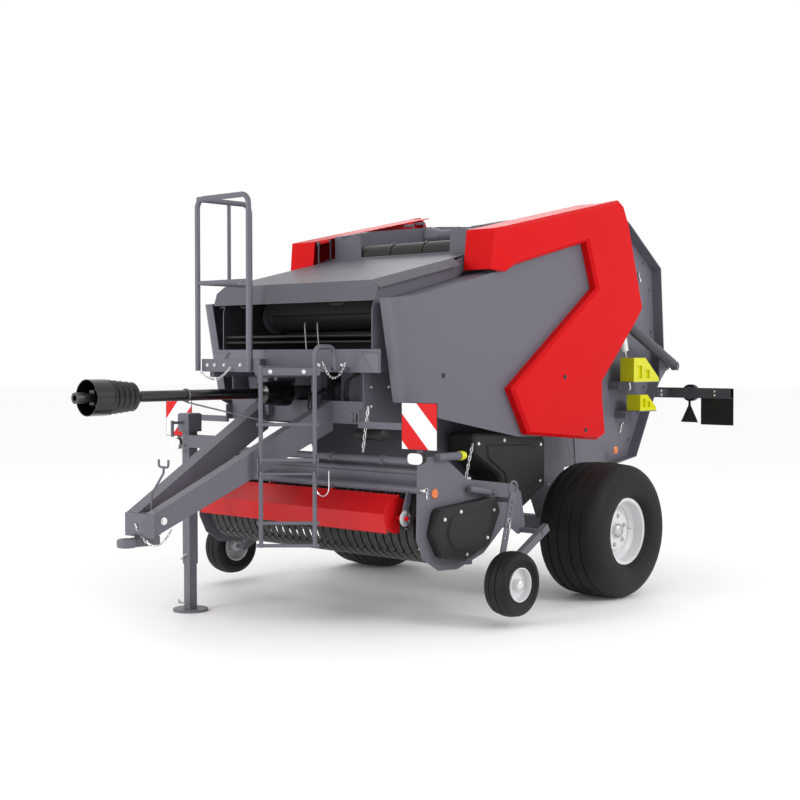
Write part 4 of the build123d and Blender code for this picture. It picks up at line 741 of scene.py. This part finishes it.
def build_cover_bolts():
    """Screws of the black drive covers, and the dark quarter-turn screws of the side covers."""
    reel_spots = ((-1.562, 0.715), (-1.715, 0.68), (-1.5, 0.446), (-1.30, 0.53), (-1.235, 0.70))
    rotor_spots = ((-1.12, 1.105), (-0.85, 1.115), (-0.45, 1.07), (-0.45, 0.82), (-0.72, 0.69))
    reel = Shape().bolts([at(1.098, y, z) for y, z in reel_spots], X, sizes().bolt)
    reel.make("reel_cover_screws", "bright", "pickup", "zinc")
    rotor = Shape().bolts([at(0.878, y, z) for y, z in rotor_spots], X, sizes().bolt)
    rotor.make("rotor_cover_screws", "bright", "chassis", "zinc")
    head = [(0, 0.017), (0.002, 0.017), (0.003, 0.012), (0.001, 0.011), (0.001, 0.002)]
    for side, word in SIDES:
        screws = Shape()
        for x, y, z in ((0.92, -1.52, 1.55), (0.99, -0.322, 1.53), (0.99, -0.072, 1.157)):
            screws.lathe(head, at(side * x, y, z), (side, 0, 0), 20)
        screws.make(f"cover_screws_{word}", "gloss", f"cover_{word}", "black_gloss")


# Chains, clips and straps

def build_chains():
    """Welded chains: two at the pickup, the drawbar's safety chain, and the platform's short ones."""
    thin = (sizes().chain_wire, sizes().chain_pitch)
    stout = [measure * 1.2 for measure in thin]
    front = Shape()
    front.chain([at(0.677, -1.945, 1.362), at(0.653, -1.945, 1.22), at(0.63, -1.945, 1.085)], *stout)
    front.chain(hanging(at(0.03, -3.222, 0.70), at(0.146, -3.05, 0.66), 0.11, 16), *thin)
    front.chain(hanging(at(-0.252, -2.50, 1.578), at(0.032, -2.50, 1.6), 0.06), *thin)
    front.chain(hanging(at(0.512, -2.178, 1.635), at(0.512, -1.978, 1.63), 0.095), *thin)
    front.make("front_chains", "bright", "chassis", "zinc")
    lift = Shape()
    lift.chain([at(0.90, -1.207, 1.11), at(0.90, -1.245, 1.0), at(0.90, -1.274, 0.90)], *stout)
    lift.prism(oblong(0.026, 0.018), at(0.90, -1.258, 0.882), X, Z, 0.034, 0.1)
    lift.make("lift_stop_chain", "bright", "pickup", "zinc")


def r_clip(shape, place, size, out):
    """Spring pin: a straight leg and a wavy leg joined by a ring."""
    along = np.array([0, 0, -1.0])
    out = np.array(out, float)
    share = np.linspace(0, 1, 10)[:, None]
    turn = np.linspace(0, 6.28, 14, endpoint=False)[:, None]
    centre = np.asarray(place) + out * 0.004
    leg = centre + along * size * (0.3 + share)
    wave = leg + (np.sin(share * 9) * size * 0.12 + size * 0.2) * np.array(Y)
    ring = centre + size * 0.3 * (np.cos(turn) * along + np.sin(turn) * np.array(Y))
    shape.tube(leg, 0.002, 6)
    shape.tube(wave, 0.002, 6)
    shape.tube(ring, 0.002, 6, closed=True)


def build_clips():
    """Spring pins on the pickup, the hubs of the wind guard's arms and the ladder's lock strap."""
    pickup = Shape()
    for side in (1, -1):
        r_clip(pickup, at(side * 1.02, -1.80, 0.86), 0.045, (side, 0, 0))
        pin = at(side * 1.018, -1.85, 0.862)
        pickup.lathe([(0, 0.012), (0.03, 0.012), (0.034, 0.009)], pin, (side, 0, 0), 16)
        r_clip(pickup, at(side * 1.158, -1.16, 0.63), 0.05, (side, 0, 0))
    pickup.make("pickup_clips", "bright", "pickup", "zinc")
    guard = Shape()
    for side, word in SIDES:
        place = at(side * 0.9395, -1.898, 0.69)
        guard.lathe([(0, 0.05), (0.005, 0.05), (0.006, 0.048), (0.006, 0.016)], place, (side, 0, 0), 32)
        guard.bolts(ring_of(6, 0.036, (place[0] + side * 0.006, *place[1:]), 0.5), (side, 0, 0), 0.0055)
        boss = [(0, 0.014), (0.016, 0.014), (0.02, 0.01), (0.02, 0.003)]
        hub = Shape().lathe(boss, place, (side, 0, 0), 20)
        hub.make(f"guard_arm_hub_{word}", "red", "guard", "red_plastic")
    guard.make("guard_arm_nuts", "zinc", "guard", "zinc")
    strap = Shape()
    bend = arc(at(0.597, -2.262, 0.885), 0.055, 180, 360, 14)
    line = np.concatenate([[at(0.542, -2.262, 0.925)], bend, [at(0.652, -2.262, 0.985)]])
    strap.tube(line, 0.003, 8)
    strap.make("ladder_lock_strap", "bright", "chassis", "zinc")


# Net box

def build_net_box_fittings():
    """Roll end discs, thin brake levers, the dark guide plate and the core of the net roll."""
    levers = Shape()
    for x in (0.10, 0.215):
        line = [at(x, -1.925, 1.885), at(x + 0.008, -1.935, 1.86), at(x + 0.028, -1.94, 1.715)]
        levers.tube(line, 0.0055, 8)
    levers.make("net_brake_levers", "dull", "chassis", "zinc")
    discs = Shape()
    for side in (1, -1):
        for x, radius in ((0.684, 0.115), (0.672, 0.062), (0.662, 0.03)):
            disc = [(0, radius), (0.008, radius), (0.011, radius * 0.93), (0.011, 0.012)]
            discs.lathe(disc, at(side * x, *NET_ROLL), (-side, 0, 0), 40)
    discs.make("net_roll_discs", "slate", "chassis", "grey")
    core = Shape().lathe([(-0.62, 0.095), (-0.6, 0.1), (0.6, 0.1), (0.62, 0.095)], at(0, *NET_ROLL), X, 36)
    core.prism([(-0.6, 1.95), (0.6, 1.95), (0.6, 2.04), (-0.6, 2.04)], at(0, -1.62, 0), X, Z, 0.006)
    core.make("net_roll_core", "black", "chassis", "black_plastic")


def build_hood_fittings():
    """Two grips under the hood's lip."""
    shape = Shape()
    for x in (-0.42, 0.42):
        shape.tube([at(x - 0.06, -1.955, 2.02), at(x - 0.05, -1.96, 1.995), at(x + 0.05, -1.96, 1.995),
                    at(x + 0.06, -1.955, 2.02)], 0.006, 8)
    shape.make("hood_grips", "black", "hood", "black_plastic")


def build_roller_bands():
    """Thin raised seams round the dark top roller."""
    shape = Shape()
    seam = [(-0.004, 0.076), (-0.003, 0.0795), (0.003, 0.0795), (0.004, 0.076)]
    for x in (-0.45, -0.15, 0.15, 0.45):
        shape.lathe(seam, at(x, *TOP_ROLLER), X, 40)
    shape.make("roller_bands", "gloss", "chassis", "black_gloss")


# Platform and ladder

def build_tread():
    """Raised ring marks in staggered rows on the deck, none past its cut corner by the ladder."""
    deck = Shape()
    mark = [(0, 0.013), (0.003, 0.011), (0.003, 0.007), (0.0005, 0.0065)]
    for i in range(9):
        for j in range(9):
            x = -0.22 + 0.055 * i + (0.0275 if j % 2 else 0)
            y = -2.43 + 0.052 * j
            if x > 0.16 and y < -2.3:
                continue
            deck.lathe(mark, at(x, y, DECK_TOP), Z, 10)
    deck.make("deck_tread", "slate", "chassis", "grey")


# Pickup

def build_tine_coils():
    """Spring coils of the tines: a helix of wire round each tine bar beside every tine."""
    low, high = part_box("pickup_reel")
    centre = np.array([0, (low[1] + high[1]) / 2, (low[2] + high[2]) / 2])
    shape = Shape()
    turn = np.linspace(0, 2 * np.pi * 2.5, 22)
    for bar in range(4):
        angle = math.radians(45 + 90 * bar)
        axis = centre + TINE_BAR_PLACE * np.array([0, math.cos(angle), math.sin(angle)])
        for slot in range(-STRIP_SIDE, STRIP_SIDE):
            x = (slot + 0.5) * STRIP_PITCH + 0.004 + 0.016 * turn / turn[-1]
            helix = np.stack([x, 0.0185 * np.cos(turn), 0.0185 * np.sin(turn)], -1)
            shape.tube(helix + axis, 0.0028, 4)
    shape.make("tine_coils", "dark_steel", "reel", "black_steel")


def build_strip_bolts():
    """Screws that hold the strips to the beam above them."""
    places = [at(i * STRIP_PITCH, -1.45, 0.8565) for i in range(-STRIP_SIDE, STRIP_SIDE + 1)]
    shape = Shape().bolts(places, Z, 0.006)
    shape.make("strip_screws", "zinc", "pickup", "zinc")


def build_pickup_fittings():
    """Lime cap, clamps on the top tube, and the sheet below it, whose section is a parabola."""
    shape = Shape()
    cap = [(-0.03, 0.029), (0, 0.029), (0.018, 0.024), (0.026, 0.012)]
    shape.lathe(cap, at(1.04, -1.48, 1.055), Y, 20)
    shape.make("parking_tube_cap", "lime", "pickup", "lime")
    clamps = Shape()
    y, z = PICKUP_TUBE
    clamp = [(-0.014, 0.0245), (-0.014, 0.03), (0.014, 0.03), (0.014, 0.0245)]
    for x in (-0.7, -0.25, 0.25, 0.7):
        clamps.lathe(clamp, at(x, y, z), X, 24, closed=True)
        clamps.bolts([at(x, y - 0.029, z)], FRONT, 0.007)
    clamps.make("beam_clamps", "slate", "pickup", "grey")
    sheet = [(-1.80 + 0.035 * share ** 2, 0.952 - 0.107 * share) for share in np.linspace(0, 1, 9)]
    sheet += [(y + 0.003, z) for y, z in reversed(sheet)]
    rows = np.array([[at(x, y, z) for y, z in sheet] for x in np.linspace(-1.005, 1.005, 9)])
    Shape().grid(rows, caps=True).make("pickup_front_sheet", "slate", "pickup", "grey")


# Jack, hoses and struts

def build_jack_fittings():
    """Lever, lock pins and foot spring of the jack."""
    low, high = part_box("jack_leg")
    x = (low[0] + high[0]) / 2
    y = (low[1] + high[1]) / 2
    tube = Shape()
    tube.tube([(x, y - 0.03, 0.375), (x - 0.01, y - 0.05, 0.365), (x - 0.03, y - 0.06, 0.34)], 0.007, 8)
    tube.lathe([(0, 0.009), (0.03, 0.009), (0.034, 0.006)], (x, y - 0.035, 1.05), FRONT, 12)
    tube.lathe([(0, 0.006), (0.06, 0.006), (0.063, 0.004)], (x, y - 0.035, 1.09), FRONT, 12)
    tube.make("jack_lock", "zinc", "chassis", "zinc")
    foot = Shape()
    foot.tube([(x + 0.02, y - 0.032, 0.05), (x + 0.02, y - 0.08, 0.06), (x, y - 0.1, 0.085),
               (x - 0.02, y - 0.08, 0.06), (x - 0.02, y - 0.032, 0.05)], 0.004, 8)
    foot.make("jack_foot_spring", "zinc", "jack", "zinc")


def build_hoses():
    """Clipped hoses beside the gearbox and behind the ladder: lines between four points, smoothed."""
    shape = Shape()
    lines = [[at(0.40 + apart, -1.80, 1.30), at(0.40 + apart, -1.88, 1.42),
              at(0.44 + apart, -1.90, 1.52), at(0.52, -1.86, 1.56 + apart)] for apart in (0.0, 0.026)]
    lines += [[at(0.19 + apart, -1.84, 1.46), at(0.20 + apart, -1.98, 1.44),
               at(0.23 + apart, -2.03, 1.33 - apart), at(0.33, -1.93, 1.27 - apart)]
              for apart in (0.0, 0.03, 0.06)]
    for line in map(np.array, lines):
        share = np.linspace(0, 3, 24)
        fit = np.stack([np.interp(share, np.arange(4), line[:, k]) for k in range(3)], -1)
        for _ in range(3):
            fit[1:-1] = (fit[:-2] + fit[1:-1] * 2 + fit[2:]) / 4
        shape.tube(fit, 0.008, 8)
    shape.make("clipped_hoses", "black", "chassis", "black_plastic")


def build_hydraulics():
    """Valve block and accumulator in front of the throat, and the pickup's lift cylinder stubs."""
    block = Shape()
    block.prism(oblong(0.03, 0.028), at(0.53, -1.885, 1.287), X, Z, 0.045, 0.08)
    for z in (1.272, 1.302):
        block.bolts([at(0.53, -1.93, z)], FRONT, sizes().bolt)
    block.make("valve_block", "dull", "chassis", "steel")
    bottle = [(0, 0.012), (0.01, 0.026), (0.03, 0.033), (0.21, 0.033), (0.22, 0.037), (0.25, 0.037),
              (0.26, 0.02)]
    tank = Shape().lathe(bottle, at(0.50, -1.88, 1.185), X, 28)
    tank.make("accumulator", "black", "chassis", "black_steel")
    for side, word in SIDES:
        start = np.array(at(side * 1.052, -1.43, 0.845))
        way = np.array(at(side * 1.052, -1.17, 0.80)) - start
        stub = Shape().lathe([(0, 0.016), (0.008, 0.024), (0.2, 0.024), (0.206, 0.018)], start, way, 24)
        stub.lathe([(0.206, 0.01), (0.25, 0.01)], start, way, 16)
        stub.bolts([start + way * 0.95 + (side * 0.004, 0, 0)], (side, 0, 0), 0.014)
        stub.make(f"lift_cylinder_{word}", "slate", "pickup", "grey")


def build_gate_struts():
    """White strut with its thin rod between two eyes, on each side of the tailgate."""
    for side, word in SIDES:
        top = np.array(at(side * 0.712, 0.811, 1.85))
        low = np.array(at(side * 0.712, 0.919, 1.422))
        way = low - top
        shape = Shape().lathe([(0, 0.02), (0.006, 0.027), (0.14, 0.027), (0.146, 0.02)], top, way, 24)
        # The strut wears the white lens finish, and its glow is painted light, because the strut is no lamp
        shape.make(f"gate_strut_{word}", "white", "tailgate", "zinc")
        rod = Shape().lathe([(0.14, 0.007), (np.linalg.norm(way), 0.007)], top, way, 12)
        rod.bolts([end - (side * 0.012, 0, 0) for end in (top, low)], (side, 0, 0), 0.011)
        rod.make(f"gate_strut_rod_{word}", "bright", "tailgate", "zinc")


# Stage

CAMERA_PLACE = (6.59, -8.168, 1.669)
CAMERA_TURN = 42.239
CAMERA_PITCH = 1.775
CAMERA_LENS = 63.0
SENSOR = 36.0
LIGHT_AIM = (0, 0, 1.2)
LIGHTS = (
    ("key", (-1.5, -9.5, 3.4), 4.0, 330),
    ("side", (8.5, 1.5, 5.0), 2.5, 230),
    ("back", (-5, 7, 5), 4.0, 60),
)
FLOOR_REACH = 60.0


def camera_axes():
    """The camera's right, up and back from its turn about Z and its pitch."""
    a = math.radians(CAMERA_TURN)
    p = math.radians(CAMERA_PITCH)
    back = Vector((math.sin(a) * math.cos(p), -math.cos(a) * math.cos(p), math.sin(p)))
    right = Vector((math.cos(a), math.sin(a), 0))
    return right, back.cross(right), back


def add_light(name, place, size, watts):
    """A round area light that faces the machine's middle."""
    lamp = bpy.data.lights.new(name, "AREA")
    lamp.shape = "DISK"
    lamp.size = size
    lamp.energy = watts
    light = bpy.data.objects.new(name, lamp)
    bpy.context.scene.collection.objects.link(light)
    way = Vector(LIGHT_AIM) - Vector(place)
    light.matrix_world = Matrix.Translation(place) @ way.to_track_quat("-Z", "Y").to_matrix().to_4x4()


def build_stage():
    """Pale floor, white surroundings and three soft lights."""
    floor_mesh = bpy.data.meshes.new("studio_floor")
    corners = [(x * FLOOR_REACH, y * FLOOR_REACH, 0) for x, y in ((-1, -1), (1, -1), (1, 1), (-1, 1))]
    floor_mesh.from_pydata(corners, [], [(0, 1, 2, 3)])
    finish = Finish("studio floor paint")
    cloud = finish.noise(0.8, 3)
    floor = tuple(colours().floor)
    paint = finish.mix(cloud, shade(floor, 0.985), floor)
    floor_mesh.materials.append(finish.show(paint, cloud * 0.05 + 0.6))
    stage = bpy.data.objects.new("studio_floor", floor_mesh)
    bpy.context.scene.collection.objects.link(stage)
    world = bpy.data.worlds.new("studio")
    world.use_nodes = True
    world.node_tree.nodes["Background"].inputs[0].default_value = (1.0, 1.0, 1.0, 1)
    world.node_tree.nodes["Background"].inputs[1].default_value = 1.0
    bpy.context.scene.world = world
    bpy.context.scene.view_settings.view_transform = "Standard"
    for light in LIGHTS:
        add_light(*light)


def build_camera():
    """The photograph's point of view."""
    right, up, back = camera_axes()
    camera = bpy.data.objects.new("photo_camera", bpy.data.cameras.new("photo_camera"))
    camera.data.lens = CAMERA_LENS
    camera.data.sensor_width = SENSOR
    camera.data.clip_end = 200
    turn = Matrix((right, up, back)).transposed().to_4x4()
    camera.matrix_world = Matrix.Translation(at(*CAMERA_PLACE)) @ turn
    bpy.context.scene.collection.objects.link(camera)
    bpy.context.scene.camera = camera


def operator(name, label, doc, *jobs):
    """An Operator class that runs its jobs in order; an error in one stops the script."""
    def execute(self, context):
        for job in jobs:
            job()
        return {"FINISHED"}

    return type("BALER_OT_" + name, (Operator,), {
        "__doc__": doc, "bl_idname": "baler." + name, "bl_label": label, "execute": execute})


OPERATORS = (
    operator("finishes", "Finishes", "The finishes, and which solid has which.", mix_finishes, finish_nodes),
    operator("tyres", "Tyres", "Grooved tyres on all four wheels.", build_tyres),
    operator("wheel_fittings", "Wheel fittings", "Nuts, caps and valves.", build_wheel_fittings),
    operator("board_films", "Board films", "Striped film on the warning boards.", build_board_films),
    operator("lenses", "Lenses", "Lamps and reflectors.", build_lenses),
    operator("frame_bolts", "Frame bolts", "Bolts of the chassis.", build_frame_bolts),
    operator("tailgate_bolts", "Tailgate bolts", "Bolts of the tailgate.", build_tailgate_bolts),
    operator("cover_bolts", "Cover screws", "Screws of the covers.", build_cover_bolts),
    operator("chains", "Chains", "Chains at the front and the pickup.", build_chains),
    operator("clips", "Clips", "Spring pins and straps.", build_clips),
    operator("net_box", "Net box fittings", "Discs, levers and core of the box.", build_net_box_fittings),
    operator("hood", "Hood fittings", "Grips of the hood.", build_hood_fittings),
    operator("roller_bands", "Roller bands", "Seams of the top roller.", build_roller_bands),
    operator("tread", "Tread", "Deck marks.", build_tread),
    operator("tine_coils", "Tine coils", "Spring coils of the tines.", build_tine_coils),
    operator("strip_bolts", "Strip screws", "Screws of the pickup strips.", build_strip_bolts),
    operator("pickup_fittings", "Pickup fittings", "Cap and clamps of the pickup.", build_pickup_fittings),
    operator("jack", "Jack fittings", "Lock and spring of the jack.", build_jack_fittings),
    operator("hoses", "Hoses", "Hoses clipped to the frame.", build_hoses),
    operator("hydraulics", "Hydraulics", "Valve block, accumulator and lift cylinders.", build_hydraulics),
    operator("gate_struts", "Gate struts", "Struts of the tailgate.", build_gate_struts),
    operator("stage", "Stage", "Floor, lights and camera.", build_stage, build_camera),
)


class BALER_PT_dressing(Panel):
    """Lists the baler's operators, sizes and colours."""
    bl_label = "Baler dressing"
    bl_idname = "BALER_PT_dressing"
    bl_space_type = "VIEW_3D"
    bl_region_type = "UI"
    bl_category = "Baler"

    def draw(self, context):
        for group in (context.scene.baler_sizes, context.scene.baler_colours):
            for name in group.__annotations__:
                self.layout.prop(group, name)
        for entry in OPERATORS:
            self.layout.operator(entry.bl_idname)


CLASSES = (BalerSizes, BalerColours) + OPERATORS + (BALER_PT_dressing,)


def register():
    for entry in CLASSES:
        bpy.utils.register_class(entry)
    bpy.types.Scene.baler_sizes = PointerProperty(type=BalerSizes)
    bpy.types.Scene.baler_colours = PointerProperty(type=BalerColours)


def unregister():
    del bpy.types.Scene.baler_colours
    del bpy.types.Scene.baler_sizes
    for entry in reversed(CLASSES):
        bpy.utils.unregister_class(entry)


def main():
    register()
    for entry in OPERATORS:
        getattr(bpy.ops.baler, entry.bl_idname.split(".")[1])()
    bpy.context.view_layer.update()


if __name__ == "__main__":
    main()
